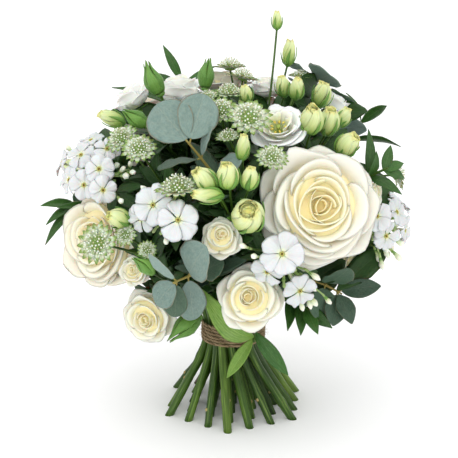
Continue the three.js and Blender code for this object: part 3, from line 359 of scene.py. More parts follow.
# Ruscus foliage: the tip's route, then leaves as rank of the node, tip, width
RUSCUS = [
  [
    [seen(352, 182, 0.84), seen(372, 173, 0.99), seen(388, 168, 1.07)],
    [
      [1, seen(369, 129, 1.08), 9],
      [1, seen(377, 152, 1.12), 9],
      [2, seen(391, 145, 1.12), 9],
      [2, seen(404, 163, 1.12), 9],
      [2, seen(405, 178, 1.1), 10],
      [1, seen(402, 194, 1.1), 10],
      [0, seen(356, 160, 1.0), 10],
    ],
  ],
  [
    [around(-96, -8, 0.72), around(-94, -5, 0.86), around(-91, -3, 0.97)],
    [
      [2, seen(41, 205, 1.02), 10],
      [2, seen(46, 224, 1.06), 9],
      [2, seen(45, 244, 1.08), 9],
      [1, seen(58, 207, 1.0), 10],
    ],
  ],
  [
    [seen(292, 282, 0.6), seen(301, 298, 0.72), seen(308, 309, 0.8)],
    [
      [0, seen(288, 330, 0.84), 11],
      [1, seen(301, 335, 0.88), 11],
      [2, seen(318, 334, 0.9), 12],
      [2, seen(332, 328, 0.94), 12],
    ],
  ],
  [
    [seen(186, 100, 0.7), seen(183, 84, 0.92), seen(181, 74, 1.02)],
    [
      [2, seen(163, 45, 1.05), 8],
      [1, seen(214, 66, 0.96), 9],
      [1, seen(150, 72, 0.96), 10],
      [0, seen(112, 86, 0.88), 10],
    ],
  ],
  [
    [around(122, 10, 0.8), around(120, 20, 0.97), around(122, 28, 1.08)],
    [
      [2, around(110, 34, 1.2), 10],
      [2, around(132, 36, 1.18), 10],
      [1, around(106, 18, 1.12), 10],
      [1, around(134, 20, 1.08), 10],
      [0, around(104, 2, 1.02), 11],
    ],
  ],
]

# Broad leaves that fall over the tie: the tip's route, then leaves as before with width
BROAD_LEAVES = [
  [ahead(268, 318, -40), ahead(261, 332, -45), ahead(254, 342, -49)],
  [
    [2, ahead(203, 288, -72), 15],
    [2, ahead(227, 378, -56), 11],
    [1, ahead(288, 375, -52), 13],
  ],
]

# Waist: stems stand in a honeycomb inside the tie, and fan out above and below it
FAN = TIE["z"] / math.sqrt(FEET["spread"] ** 2 - 1)


def fan(z):
    return math.sqrt(1 + ((z - TIE["z"]) / (FAN if z < TIE["z"] else FEET["flare"])) ** 2)


def at_height(spot, z):
    turn = FEET["twist"] * (TIE["z"] - z) / TIE["z"] if z < TIE["z"] else 0
    x, y = spot[0] * fan(z), spot[1] * fan(z)
    return vec(x * math.cos(turn) - y * math.sin(turn), x * math.sin(turn) + y * math.cos(turn), z)


def round_of(p):
    return math.atan2(p[1], p[0])


def waist_rings():
    rings = [[], [], [], []]
    for q in range(-3, 4):
        for r in range(-3, 4):
            ring = max(abs(q), abs(r), abs(q + r))
            if ring <= 3:
                rings[ring].append((STEM_PITCH * (q + r / 2), STEM_PITCH * r * math.sqrt(0.75)))
    return [sorted(ring, key=round_of) for ring in rings]


def share_waist(stems):
    order = sorted(stems, key=lambda s: math.hypot(s["hub"][0], s["hub"][1]) / (s["hub"][2] - TIE["z"] + 20))
    for ring in waist_rings():
        group = sorted(order[:len(ring)], key=lambda s: round_of(s["hub"]))
        order = order[len(ring):]
        best, first = math.inf, 0
        for shift in range(len(ring)):
            total = sum(1 - math.cos(round_of(ring[(k + shift) % len(ring)]) - round_of(s["hub"]))
                        for k, s in enumerate(group))
            if total < best:
                best, first = total, shift
        for k, s in enumerate(group):
            s["spot"] = ring[(k + first) % len(ring)]


def first_route(start, leaving, end, arriving):
    length = np.linalg.norm(end - start)
    count = max(3, math.ceil(length / ROUTE["step"]))
    t = np.linspace(0, 1, count + 1)[:, None]
    a, b = 2 * t ** 3 - 3 * t ** 2 + 1, t ** 3 - 2 * t ** 2 + t
    c, d = -2 * t ** 3 + 3 * t ** 2, t ** 3 - t ** 2
    return a * start + b * length * leaving + c * end + d * length * arriving


def bend_clear(routes, balls):
    """Bends routes clear of each other and of the blooms, as the CAD model does; their ends stay."""
    spots = np.concatenate([r["points"] for r in routes])
    which = np.concatenate([[i] * len(r["points"]) for i, r in enumerate(routes)])
    rank = np.concatenate([np.arange(len(r["points"])) for r in routes])
    stem = np.concatenate([[id(r["stem"])] * len(r["points"]) for r in routes])
    last = np.concatenate([[len(r["points"]) - 1] * len(r["points"]) for r in routes])
    thick = np.concatenate([[r["stem"]["branch"] if k > r.get("firstNode", 1e9) else r["radius"]
                             for k in range(len(r["points"]))] for r in routes])
    free = (rank > 0) & (rank < last)
    names = np.array([r["name"] for r in routes])[which]
    apart = which[:, None] != which[None]
    near_fork = (stem[:, None] == stem[None]) & ((rank[:, None] < 3) | (rank[None] < 3))
    need = np.where(apart & ~near_fork, thick[:, None] + thick[None] + ROUTE["gap"], 0)
    rooms = np.array([ball[0] for ball in balls])
    room_need = thick[:, None] + np.array([ball[1] for ball in balls])[None] + ROUTE["headGap"]
    room_need = np.where(names[:, None] != np.array([ball[2] for ball in balls])[None], room_need, 0)
    inner = np.flatnonzero(free)
    for _ in range(ROUTE["rounds"]):
        gap = spots[:, None] - spots[None]
        far = np.sqrt((gap ** 2).sum(2))
        push = np.where((far < need) & (far > 1e-6), 0.5 * (need - far) / np.maximum(far, 1e-6), 0)
        moves = (gap * push[..., None]).sum(1)
        gap = spots[:, None] - rooms[None]
        far = np.sqrt((gap ** 2).sum(2))
        push = np.where((far < room_need) & (far > 1e-6), 0.6 * (room_need - far) / np.maximum(far, 1e-6), 0)
        moves += (gap * push[..., None]).sum(1)
        moves[inner] += ROUTE["smooth"] * ((spots[inner - 1] + spots[inner + 1]) / 2 - spots[inner])
        spots = spots + moves * free[:, None]
    first = 0
    for r in routes:
        r["points"] = spots[first:first + len(r["points"])]
        first += len(r["points"])


# Stems with their heads, and the rooms that stems keep out of
stems, balls, heads_of = [], [], {}


def frame_of(aim):
    across = vec(1, 0, 0) if abs(aim[2]) > 0.999 else unit(np.cross(vec(0, 0, 1), aim))
    return np.array([across, np.cross(aim, across), aim])


def add_balls(middle, aim, radius, core, rim, route):
    balls.append((middle, core * radius, route))
    if rim > 0:
        across, over, _ = frame_of(aim)
        for k in range(6):
            angle = math.pi * k / 3
            balls.append((middle + 0.72 * radius * spoke(angle, across, over), rim * radius, route))


def add_stem(name, kind, heads, branch=0):
    middle = sum(head["end"] for head in heads) / len(heads)
    hub = heads[0]["end"] if len(heads) == 1 else mix(middle, vec(0, 0, TIE["z"] + 40), HUB_PULL)
    stem = {"name": name, "kind": kind, "heads": heads, "hub": hub, "branch": branch}
    stems.append(stem)
    return stem


def bloom_head(node, flower, depth_share, route, kind):
    face, aim, radius = flower
    depth = depth_share * radius
    base = face - aim * 0.7 * depth
    add_balls(base + aim * 0.5 * depth, aim, radius, 0.6, 0.26, route)
    return {"end": base - aim * 0.14 * depth, "arrive": aim, "route": route, "kind": kind, "node": node,
            "base": base, "radius": radius, "depth": depth}


def bud_head(middle, aim, length, radius, route, kind):
    add_balls(middle, aim, radius, 1.05, 0, route)
    return {"end": middle - aim * 0.4 * length, "arrive": aim, "route": route, "kind": kind, "middle": middle,
            "length": length, "radius": radius}


def gather():
    for k, rose in enumerate(LARGE_ROSES):
        head = bloom_head(f"large_rose_{k + 1}", rose, 0.86, f"rose{k}", "large_rose")
        add_stem(f"large_rose_stem_{k + 1}", "large_rose", [head])
    count = 0
    for k, blooms in enumerate(SPRAY_ROSES):
        heads = []
        for j, rose in enumerate(blooms):
            count += 1
            heads.append(bloom_head(f"spray_rose_{count}", rose, 0.95, f"spray{k}{j}", "spray_rose"))
        for j, (middle, aim, length) in enumerate(ROSE_BUDS[k]):
            heads.append(bud_head(middle, aim, length, 0.36 * length, f"rosebud{k}{j}", "rose_bud"))
        add_stem(f"spray_rose_stem_{k + 1}", "spray_rose", heads, BRANCH["spray"])
    count = 0
    for k, buds in enumerate(LISIANTHUS_BUDS):
        heads = []
        for j, flower in enumerate(LISIANTHUS_FLOWERS[k]):
            count += 1
            heads.append(bloom_head(f"lisianthus_flower_{count}", flower, 0.9, f"open{k}{j}", "lisianthus"))
        for j, (middle, aim, length, radius) in enumerate(buds):
            heads.append(bud_head(middle, aim, length, radius, f"bud{k}{j}", "lisianthus_bud"))
        add_stem(f"lisianthus_stem_{k + 1}", "lisianthus", heads, BRANCH["lisianthus"])
    for k, florets in enumerate(PHLOX):
        route = f"phlox{k}"
        aim = unit(sum(floret[1] for floret in florets))
        hub = sum(floret[0] for floret in florets) / len(florets) - aim * PHLOX_TUBE
        for place, out, radius in florets:
            add_balls(place - out * 2, out, radius, 0.7, 0, route)
            add_balls(mix(place, hub, 0.5), out, 4, 1, 0, route)
        heads = [{"end": hub - aim * (3 + 0.35), "arrive": aim, "route": route, "kind": "phlox",
                  "node": f"phlox_flowers_{k + 1}", "florets": florets, "hub": hub}]
        for j, tip in enumerate(PHLOX_BUDS[k]):
            away = unit(tip - heads[0]["end"])
            heads.append({"end": tip - away * 14, "arrive": away, "route": f"slim{k}{j}", "kind": "slim_bud",
                          "tip": tip})
        stem = add_stem(f"phlox_stem_{k + 1}", "phlox", heads, BRANCH["phlox"])
        stem["hub"] = heads[0]["end"] - aim * 16
    for k, stars in enumerate(ASTRANTIA):
        heads = []
        for j, (middle, aim, radius) in enumerate(stars):
            route = f"star{k}{j}"
            add_balls(middle + aim * 0.1 * radius, aim, radius, 0.4, 0.22, route)
            heads.append({"end": middle - aim * 0.18 * radius, "arrive": aim, "route": route,
                          "kind": "astrantia", "middle": middle, "radius": radius})
        add_stem(f"astrantia_spray_{k + 1}", "astrantia", heads, BRANCH["astrantia"])
    sprays = [(f"eucalyptus_spray_{k + 1}", "eucalyptus", spray) for k, spray in enumerate(EUCALYPTUS)]
    sprays += [(f"ruscus_spray_{k + 1}", "ruscus", spray) for k, spray in enumerate(RUSCUS)]
    sprays.append(("broad_leaf_spray", "broad", BROAD_LEAVES))
    for name, kind, (spine, leaves) in sprays:
        for leaf in leaves:
            for share in (0.35, 0.6, 0.85):
                balls.append((mix(spine[leaf[0]], leaf[1], share), 0.3 * leaf[2], name))
        stems.append({"name": name, "kind": kind, "heads": [], "hub": spine[0], "branch": BRANCH[kind],
                      "spine": spine, "leaves": leaves})


def lay_routes():
    share_waist(stems)
    routes = []
    for stem in stems:
        low, high = at_height(stem["spot"], TIE["top"]), at_height(stem["spot"], STEM["top"])
        heads, spine = stem["heads"], stem.get("spine")
        single = len(heads) == 1
        tipward = unit(spine[1] - spine[0]) if spine else unit(stem["hub"] - vec(0, 0, TIE["z"]))
        arriving = heads[0]["arrive"] if single else tipward
        points = first_route(high, unit(high - low), stem["hub"], arriving)
        first_node = len(points) - 1
        if spine:
            legs = [mix(spine[leg - 1], spine[leg], share) for leg in (1, 2) for share in (1 / 3, 2 / 3, 1)]
            points = np.vstack([points, legs])
        stem["main"] = {"points": points, "firstNode": first_node, "radius": STEM["radius"], "stem": stem,
                        "name": heads[0]["route"] if single else stem["name"]}
        stem["branches"] = []
        for head in ([] if single else heads):
            away = unit(head["end"] - stem["hub"])
            start = stem["hub"] - arriving * 4
            route = first_route(start, mix(arriving, away, 0.6), head["end"], head["arrive"])
            stem["branches"].append({"points": route, "radius": stem["branch"], "stem": stem,
                                     "name": head["route"]})
        routes += [stem["main"]] + stem["branches"]
    bend_clear(routes, balls)
    for stem in stems:
        if "spine" in stem:
            stem["nodes"] = [stem["main"]["points"][stem["main"]["firstNode"] + step] for step in (0, 3, 6)]


# Pieces: points in millimetres of the bouquet's own frame, then one Blender object for a node
LOOKS = {}


class Piece:
    def __init__(self):
        self.points, self.spots, self.tints, self.looks = [], [], [], []
        self.quads, self.quad_looks, self.tris, self.tri_looks = [], [], [], []
        self.count = 0

    def add(self, points, spots, tint, look, quads, tris=()):
        if look not in self.looks:
            self.looks.append(look)
        number = self.looks.index(look)
        self.points.append(points)
        self.spots.append(spots)
        self.tints.append(np.full(len(points), tint))
        self.quads.append(np.asarray(quads) + self.count)
        self.quad_looks.append(np.full(len(quads), number))
        if len(tris):
            self.tris.append(np.asarray(tris) + self.count)
            self.tri_looks.append(np.full(len(tris), number))
        self.count += len(points)

    def build(self, name, node, slot):
        points = (np.vstack(self.points) + SHIFT) / 1000
        quads, tris = np.vstack(self.quads), np.vstack(self.tris)
        looks = np.concatenate(self.quad_looks + self.tri_looks)
        mesh = bpy.data.meshes.new(name)
        mesh.vertices.add(len(points))
        mesh.vertices.foreach_set("co", points.ravel())
        corners = np.concatenate([quads.ravel(), tris.ravel()])
        sides = np.concatenate([np.full(len(quads), 4), np.full(len(tris), 3)])
        mesh.loops.add(len(corners))
        mesh.loops.foreach_set("vertex_index", corners)
        mesh.polygons.add(len(sides))
        mesh.polygons.foreach_set("loop_start", np.concatenate([[0], np.cumsum(sides)[:-1]]))
        mesh.polygons.foreach_set("material_index", looks)
        mesh.polygons.foreach_set("use_smooth", np.ones(len(sides), bool))
        spot = mesh.attributes.new("spot", "FLOAT_VECTOR", "POINT")
        spot.data.foreach_set("vector", np.vstack(self.spots).ravel())
        tint = mesh.attributes.new("tint", "FLOAT", "POINT")
        tint.data.foreach_set("value", np.concatenate(self.tints))
        mesh.validate()
        mesh.update(calc_edges=True)
        for look in self.looks:
            mesh.materials.append(LOOKS[look])
        obj = bpy.data.objects.new(name, mesh)
        bpy.context.scene.collection.objects.link(obj)
        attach(obj, "root")
        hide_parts(node)


def unit_rows(v):
    length = np.linalg.norm(v, axis=-1, keepdims=True)
    return v / np.maximum(length, 1e-9)


def run_of(path):
    """Distance from the start of a path to each of its points."""
    return np.concatenate([[0], np.cumsum(np.linalg.norm(np.diff(path, axis=0), axis=1))])


def spans(rows, columns, power=1.0):
    """Shares of a sheet's length down its rows, and of its half width over its columns."""
    return np.linspace(0, 1, rows)[:, None] ** power, np.linspace(-1, 1, columns)[None]


def marks(s, t, rank=0.5):
    """What the looks read at each point of a sheet: its place across and along, and its rank in a bloom."""
    return np.stack([s + 0 * t, t + 0 * s, rank + 0 * s * t], -1)


def placed(base, axes, x, y, z):
    """Points given by their distances along the three axes of a form."""
    return base + x[..., None] * axes[0] + y[..., None] * axes[1] + z[..., None] * axes[2]


def grid_quads(index):
    a, b, c, d = index[:-1, :-1], index[:-1, 1:], index[1:, 1:], index[1:, :-1]
    return np.stack([a, b, c, d], -1).reshape(-1, 4)


def sheet(piece, grid, spots, tint, look, thick=0.5):
    """A closed thin sheet on a grid of points, thick in the middle and thin at its edge."""
    rows, columns = grid.shape[:2]
    normal = unit_rows(np.cross(np.gradient(grid, axis=1), np.gradient(grid, axis=0)))
    edge = np.ones((rows, columns))
    edge[[0, -1]] = 0
    edge[:, [0, -1]] = 0
    lift = normal * (thick / 2 * edge)[..., None]
    front = np.arange(rows * columns).reshape(rows, columns)
    back = front.copy()
    back[1:-1, 1:-1] = rows * columns + np.arange((rows - 2) * (columns - 2)).reshape(rows - 2, -1)
    points = np.vstack([(grid + lift).reshape(-1, 3), (grid - lift)[1:-1, 1:-1].reshape(-1, 3)])
    data = np.vstack([spots.reshape(-1, 3), spots[1:-1, 1:-1].reshape(-1, 3)])
    piece.add(points, data, tint, look, np.vstack([grid_quads(front), grid_quads(back)[:, ::-1]]))


def swept(path):
    """Axes across a path that turn as little as they can."""
    along = unit_rows(np.gradient(path, axis=0))
    across = np.zeros_like(path)
    side = frame_of(along[0])[0]
    for k, ahead_ in enumerate(along):
        side = unit(side - ahead_ * (side @ ahead_))
        across[k] = side
    return along, across, np.cross(along, across)


def closed_rings(piece, grid, spots, ends, tint, look):
    """A form of rings from end to end, shut by flat caps about the two end points."""
    count, sides = grid.shape[:2]
    index = np.arange(count * sides).reshape(count, sides)
    index = np.hstack([index, index[:, :1]])
    first, last = count * sides, count * sides + 1
    caps = [[first, index[0, k + 1], index[0, k]] for k in range(sides)]
    caps += [[last, index[-1, k], index[-1, k + 1]] for k in range(sides)]
    points = np.vstack([grid.reshape(-1, 3), ends])
    data = np.vstack([spots.reshape(-1, 3), spots[0, 0], spots[-1, 0]])
    piece.add(points, data, tint, look, grid_quads(index), caps)


def tube(piece, path, radii, sides, look, tint=0.5):
    """A closed round tube along a path."""
    path = np.asarray(path, float)
    radii = np.full(len(path), radii) if np.isscalar(radii) else np.asarray(radii, float)
    _, across, over = swept(path)
    turn = 2 * math.pi * np.arange(sides) / sides
    ring = across[:, None] * np.cos(turn)[None, :, None] + over[:, None] * np.sin(turn)[None, :, None]
    grid = path[:, None] + ring * radii[:, None, None]
    run = run_of(path)
    spots = np.zeros(grid.shape)
    spots[..., 0] = np.abs(np.arange(sides) * 2 / sides - 1)[None]
    spots[..., 1] = run[:, None] / 100
    spots[..., 2] = (run / run[-1])[:, None]
    closed_rings(piece, grid, spots, path[[0, -1]], tint, look)


def turned(piece, base, aim, rings, look, tint=0.5, sides=16, fold=None):
    """A closed form turned about its aim; rings are radius and height, fold shapes the radius."""
    rings = np.asarray(rings, float)
    across, over, along = frame_of(aim)
    turn = 2 * math.pi * np.arange(sides) / sides
    share = np.linspace(0, 1, len(rings))
    radius = rings[:, :1] * np.ones(sides)
    if fold is not None:
        radius = radius * fold(turn[None], share[:, None])
    grid = (base + rings[:, 1][:, None, None] * along
            + radius[..., None] * (np.cos(turn)[:, None] * across + np.sin(turn)[:, None] * over)[None])
    spots = np.zeros(grid.shape)
    spots[..., 0] = (turn / math.pi - 1)[None]
    spots[..., 1] = share[:, None]
    spots[..., 2] = rings[:, :1] / rings[:, 0].max()
    ends = np.array([base + along * rings[0, 1], base + along * rings[-1, 1]])
    closed_rings(piece, grid, spots, ends, tint, look)


def scaled(profile, wide, tall):
    """Rings that were given in shares of a form's radius and height."""
    return [(r * wide, z * tall) for r, z in profile]


def smooth_path(points, step):
    """A path through points, smoothed and cut into equal steps."""
    points = np.asarray(points, float)
    for _ in range(2):
        inner = 0.25 * points[:-2] + 0.5 * points[1:-1] + 0.25 * points[2:]
        points = np.vstack([points[:1], inner, points[-1:]])
    run = run_of(points)
    count = max(3, int(round(run[-1] / step)) + 1)
    return np.stack([np.interp(np.linspace(0, run[-1], count), run, points[:, k]) for k in range(3)], 1)


# Petals of a rose from the heart out: turn round the bloom in degrees, half span, width of its curve,
# rim radius and height, belly radius and height, curl of the rim, point of the tip and tuck of one side
LARGE_PETALS = [
    (20, 2.0, 0.07, 0.05, 0.79, 0.09, 0.56, 0.0, 0.05, 0.04),
    (170, 1.2, 0.16, 0.09, 0.80, 0.14, 0.56, 0.2, 0.05, 0.05),
    (290, 1.2, 0.18, 0.12, 0.79, 0.17, 0.54, 0.3, 0.05, 0.05),
    (60, 1.2, 0.20, 0.14, 0.83, 0.19, 0.54, 0.2, 0.03, 0.06),
    (205, 1.1, 0.30, 0.19, 0.82, 0.24, 0.52, 0.3, 0.02, 0.06),
    (325, 1.1, 0.32, 0.22, 0.81, 0.27, 0.50, 0.4, 0.0, 0.06),
    (85, 1.15, 0.32, 0.25, 0.86, 0.29, 0.50, 0.3, 0.0, 0.07),
    (255, 0.95, 0.46, 0.29, 0.82, 0.33, 0.47, 0.5, 0.0, 0.06),
    (160, 0.95, 0.48, 0.31, 0.87, 0.35, 0.46, 0.5, 0.0, 0.05),
    (40, 1.1, 0.44, 0.36, 0.89, 0.39, 0.44, 0.4, 0.0, 0.07),
    (290, 0.95, 0.52, 0.37, 0.84, 0.40, 0.43, 0.6, 0.0, 0.05),
    (195, 0.9, 0.58, 0.40, 0.89, 0.43, 0.42, 0.7, 0.0, 0.05),
    (75, 1.1, 0.48, 0.47, 0.93, 0.48, 0.40, 0.6, 0.0, 0.07),
    (300, 1.0, 0.47, 0.51, 0.90, 0.53, 0.33, 0.9, 0.0, 0.06),
    (105, 1.1, 0.50, 0.60, 0.95, 0.58, 0.34, 0.8, 0.0, 0.06),
    (225, 0.8, 0.80, 0.52, 0.93, 0.54, 0.32, 0.9, 0.0, 0.08),
    (345, 1.2, 0.54, 0.65, 0.95, 0.62, 0.30, 1.3, 0.02, 0.08),
    (172, 0.8, 0.72, 0.61, 0.93, 0.60, 0.30, 1.7, 0.0, 0.04),
    (280, 0.95, 0.66, 0.67, 0.86, 0.64, 0.27, 1.3, 0.02, 0.06),
    (120, 0.95, 0.75, 0.80, 0.90, 0.70, 0.24, 1.0, 0.10, 0.06),
    (50, 1.1, 0.64, 0.78, 0.88, 0.72, 0.22, 1.8, 0.03, 0.06),
    (300, 0.95, 0.70, 0.76, 0.76, 0.70, 0.20, 1.5, 0.04, 0.06),
    (235, 0.85, 0.90, 0.72, 0.80, 0.70, 0.20, 1.4, 0.02, 0.06),
    (5, 0.95, 0.72, 0.86, 0.66, 0.78, 0.16, 1.8, 0.06, 0.05),
    (185, 0.75, 0.64, 0.84, 0.74, 0.74, 0.18, 2.1, 0.0, 0.04),
    (262, 0.9, 0.80, 0.84, 0.56, 0.77, 0.14, 1.7, 0.05, 0.06),
    (150, 0.95, 0.74, 0.88, 0.50, 0.80, 0.12, 1.6, 0.06, 0.05),
    (85, 0.95, 0.74, 0.90, 0.55, 0.80, 0.12, 1.6, 0.08, 0.05),
    (320, 1.0, 0.78, 0.94, 0.45, 0.84, 0.10, 1.4, 0.10, 0.06),
    (210, 0.9, 0.78, 0.90, 0.42, 0.82, 0.10, 1.5, 0.08, 0.05),
    (30, 0.95, 0.80, 0.94, 0.35, 0.84, 0.08, 1.4, 0.10, 0.05),
    (265, 0.95, 0.80, 0.94, 0.30, 0.84, 0.07, 1.4, 0.10, 0.05),
    (115, 0.95, 0.80, 0.94, 0.28, 0.84, 0.06, 1.4, 0.12, 0.05),
]
SPRAY_PETALS = [
    (20, 2.1, 0.09, 0.07, 0.79, 0.12, 0.50, 0.0, 0.05, 0.05),
    (280, 1.5, 0.14, 0.12, 0.79, 0.17, 0.48, 0.2, 0.04, 0.06),
    (150, 1.5, 0.17, 0.15, 0.81, 0.20, 0.46, 0.1, 0.02, 0.06),
    (215, 1.4, 0.22, 0.20, 0.82, 0.26, 0.45, 0.2, 0.0, 0.06),
    (20, 1.4, 0.23, 0.20, 0.84, 0.26, 0.45, 0.2, 0.0, 0.06),
    (90, 1.7, 0.24, 0.25, 0.86, 0.31, 0.44, 0.2, 0.0, 0.05),
    (310, 1.5, 0.29, 0.30, 0.85, 0.36, 0.40, 0.3, 0.0, 0.06),
    (215, 1.2, 0.38, 0.38, 0.90, 0.43, 0.38, 0.5, 0.0, 0.06),
    (60, 1.2, 0.44, 0.46, 0.94, 0.50, 0.35, 0.7, 0.0, 0.07),
    (330, 1.1, 0.52, 0.53, 0.92, 0.55, 0.32, 1.0, 0.02, 0.06),
    (160, 1.0, 0.60, 0.55, 0.92, 0.57, 0.30, 1.2, 0.0, 0.05),
    (260, 1.0, 0.64, 0.60, 0.88, 0.60, 0.28, 1.2, 0.02, 0.06),
    (100, 0.95, 0.72, 0.74, 0.84, 0.68, 0.24, 1.3, 0.06, 0.06),
    (10, 1.05, 0.64, 0.76, 0.80, 0.70, 0.22, 1.7, 0.04, 0.06),
    (225, 0.9, 0.78, 0.76, 0.72, 0.70, 0.20, 1.6, 0.03, 0.05),
    (300, 0.95, 0.74, 0.84, 0.60, 0.77, 0.16, 1.6, 0.06, 0.06),
    (170, 0.9, 0.74, 0.86, 0.62, 0.78, 0.16, 1.8, 0.04, 0.05),
    (60, 0.95, 0.76, 0.90, 0.50, 0.82, 0.12, 1.5, 0.08, 0.05),
    (345, 0.95, 0.80, 0.94, 0.40, 0.84, 0.10, 1.4, 0.10, 0.05),
    (250, 0.95, 0.80, 0.92, 0.40, 0.84, 0.10, 1.4, 0.10, 0.05),
    (120, 0.95, 0.80, 0.94, 0.34, 0.84, 0.08, 1.4, 0.10, 0.05),
]
CUP_PETALS = [
    (20, 1.6, 0.10, 0.08, 0.96, 0.14, 0.55, 0.0, 0.05, 0.05),
    (140, 1.4, 0.20, 0.16, 0.97, 0.24, 0.53, 0.1, 0.0, 0.06),
    (260, 1.4, 0.25, 0.21, 0.95, 0.31, 0.50, 0.2, 0.0, 0.06),
    (60, 1.2, 0.36, 0.31, 0.98, 0.43, 0.46, 0.2, 0.0, 0.06),
    (180, 1.2, 0.44, 0.38, 0.96, 0.52, 0.42, 0.3, 0.0, 0.06),
    (300, 1.2, 0.50, 0.44, 0.95, 0.58, 0.40, 0.4, 0.0, 0.06),
    (0, 1.1, 0.58, 0.54, 0.94, 0.68, 0.35, 0.5, 0.0, 0.06),
    (120, 1.1, 0.62, 0.60, 0.92, 0.74, 0.32, 0.6, 0.0, 0.06),
    (240, 1.1, 0.66, 0.64, 0.90, 0.78, 0.30, 0.7, 0.0, 0.06),
    (50, 1.05, 0.72, 0.74, 0.84, 0.86, 0.26, 0.8, 0.02, 0.05),
    (170, 1.05, 0.74, 0.78, 0.80, 0.90, 0.24, 0.9, 0.02, 0.05),
    (290, 1.05, 0.76, 0.82, 0.74, 0.92, 0.22, 1.0, 0.02, 0.05),
    (350, 1.0, 0.80, 0.88, 0.60, 0.94, 0.16, 1.2, 0.03, 0.05),
    (110, 1.0, 0.80, 0.88, 0.58, 0.94, 0.16, 1.2, 0.03, 0.05),
    (230, 1.0, 0.80, 0.88, 0.58, 0.94, 0.16, 1.2, 0.03, 0.05),
]


def upright_frame(aim):
    """Axes of a bloom's face: across to the right of the view and over upwards, where the aim allows."""
    along = unit(aim)
    if abs(along @ VIEW_RIGHT) > 0.9:
        return frame_of(along)
    across = unit(VIEW_RIGHT - along * (along @ VIEW_RIGHT))
    return across, np.cross(along, across), along


def rose_petals(piece, head, depth, petals, look, random, grid, loose, first, heart=(0.045, -0.015)):
    """Petals wound round a rose, each with its own jitter, a curled rim and a ruffle."""
    axes, radius = upright_frame(head["arrive"]), head["radius"]
    t, s = spans(*grid, 0.85)
    for degrees, half, curve, rim_r, rim_z, belly_r, belly_z, curl, point, tuck in petals:
        jitter = random.normal(size=8).clip(-2, 2) * loose
        turn = math.radians(degrees + first) + 0.09 * jitter[0]
        hand = 1 if jitter[6] > -0.3 else -1
        root = vec(radius * (0.04 + 0.09 * rim_r), depth * (0.14 - 0.05 * rim_r))
        belly = vec(radius * belly_r * (1 + 0.02 * jitter[1]), depth * belly_z)
        rim = vec(radius * rim_r * (1 + 0.03 * jitter[2]), depth * rim_z * (1 + 0.02 * jitter[3]))
        swing = curl * (1 + 0.18 * jitter[4])
        lean = (0.035 * jitter[5] + 0.02 * hand) * (0.6 + 0.7 * rim_r)
        drop = (0.07 + 0.14 * rim_r) * np.abs(s) ** 2.4
        tip = point * 1.5 * np.maximum(0, 1 - 2.2 * np.abs(s - 0.08 * jitter[7])) ** 1.7
        reach = t * (1 - drop + tip)
        start = 0.76
        u = np.minimum(reach, start)
        a, b, c = (1 - u) ** 2, 2 * u * (1 - u), u ** 2
        r = a * root[0] + b * belly[0] + c * rim[0]
        z = a * root[1] + b * belly[1] + c * rim[1]
        slope = 2 * (1 - start) * (belly - root) + 2 * start * (rim - belly)
        lead = math.atan2(slope[1], slope[0])
        length = 1.1 * np.linalg.norm(slope) * (1 - start)
        w = np.maximum(0, reach - start) / (1 - start)
        bend = np.maximum(0.06, swing * (0.7 + 0.7 * np.abs(s - 5 * lean) ** 1.5))
        r = r + length / bend * (math.sin(lead) - np.sin(lead - bend * w))
        z = z + length / bend * (np.cos(lead - bend * w) - math.cos(lead))
        phase = any_turn(random, 2)
        ruffle = 0.017 * radius * (0.2 + rim_r) * t ** 3
        ruffle = ruffle * (np.sin(2.6 * s + phase[0]) + 0.4 * np.sin(6.1 * s + phase[1]))
        r = np.maximum(r + 0.8 * ruffle, 0.35)
        z = z + 0.8 * ruffle + lean * radius * s * t
        narrow = 0.4 + 0.6 * np.sin(np.minimum(1, reach * 1.3) * math.pi / 2)
        angle = s * half * narrow
        flat = curve / rim_r
        out = r * (1 - flat * (1 - np.cos(angle))) + hand * tuck * radius * s * (0.3 + 0.7 * t)
        beside = r * flat * np.sin(angle)
        drift = radius * np.array(heart) * max(0, 1 - 1.3 * rim_r)
        x = out * math.cos(turn) - beside * math.sin(turn) + drift[0] * t
        y = out * math.sin(turn) + beside * math.cos(turn) + drift[1] * t
        sheet(piece, placed(head["base"], axes, x, y, z), marks(s, t, rim_r), random.random(), look, 0.7)


def rose_bed(piece, head, depth, look, rings):
    """The closed mass of inner petals: fills a rose between its petals to a little below their rims."""
    turned(piece, head["base"], head["arrive"], scaled(rings, head["radius"], depth), look, 0.5, 20)


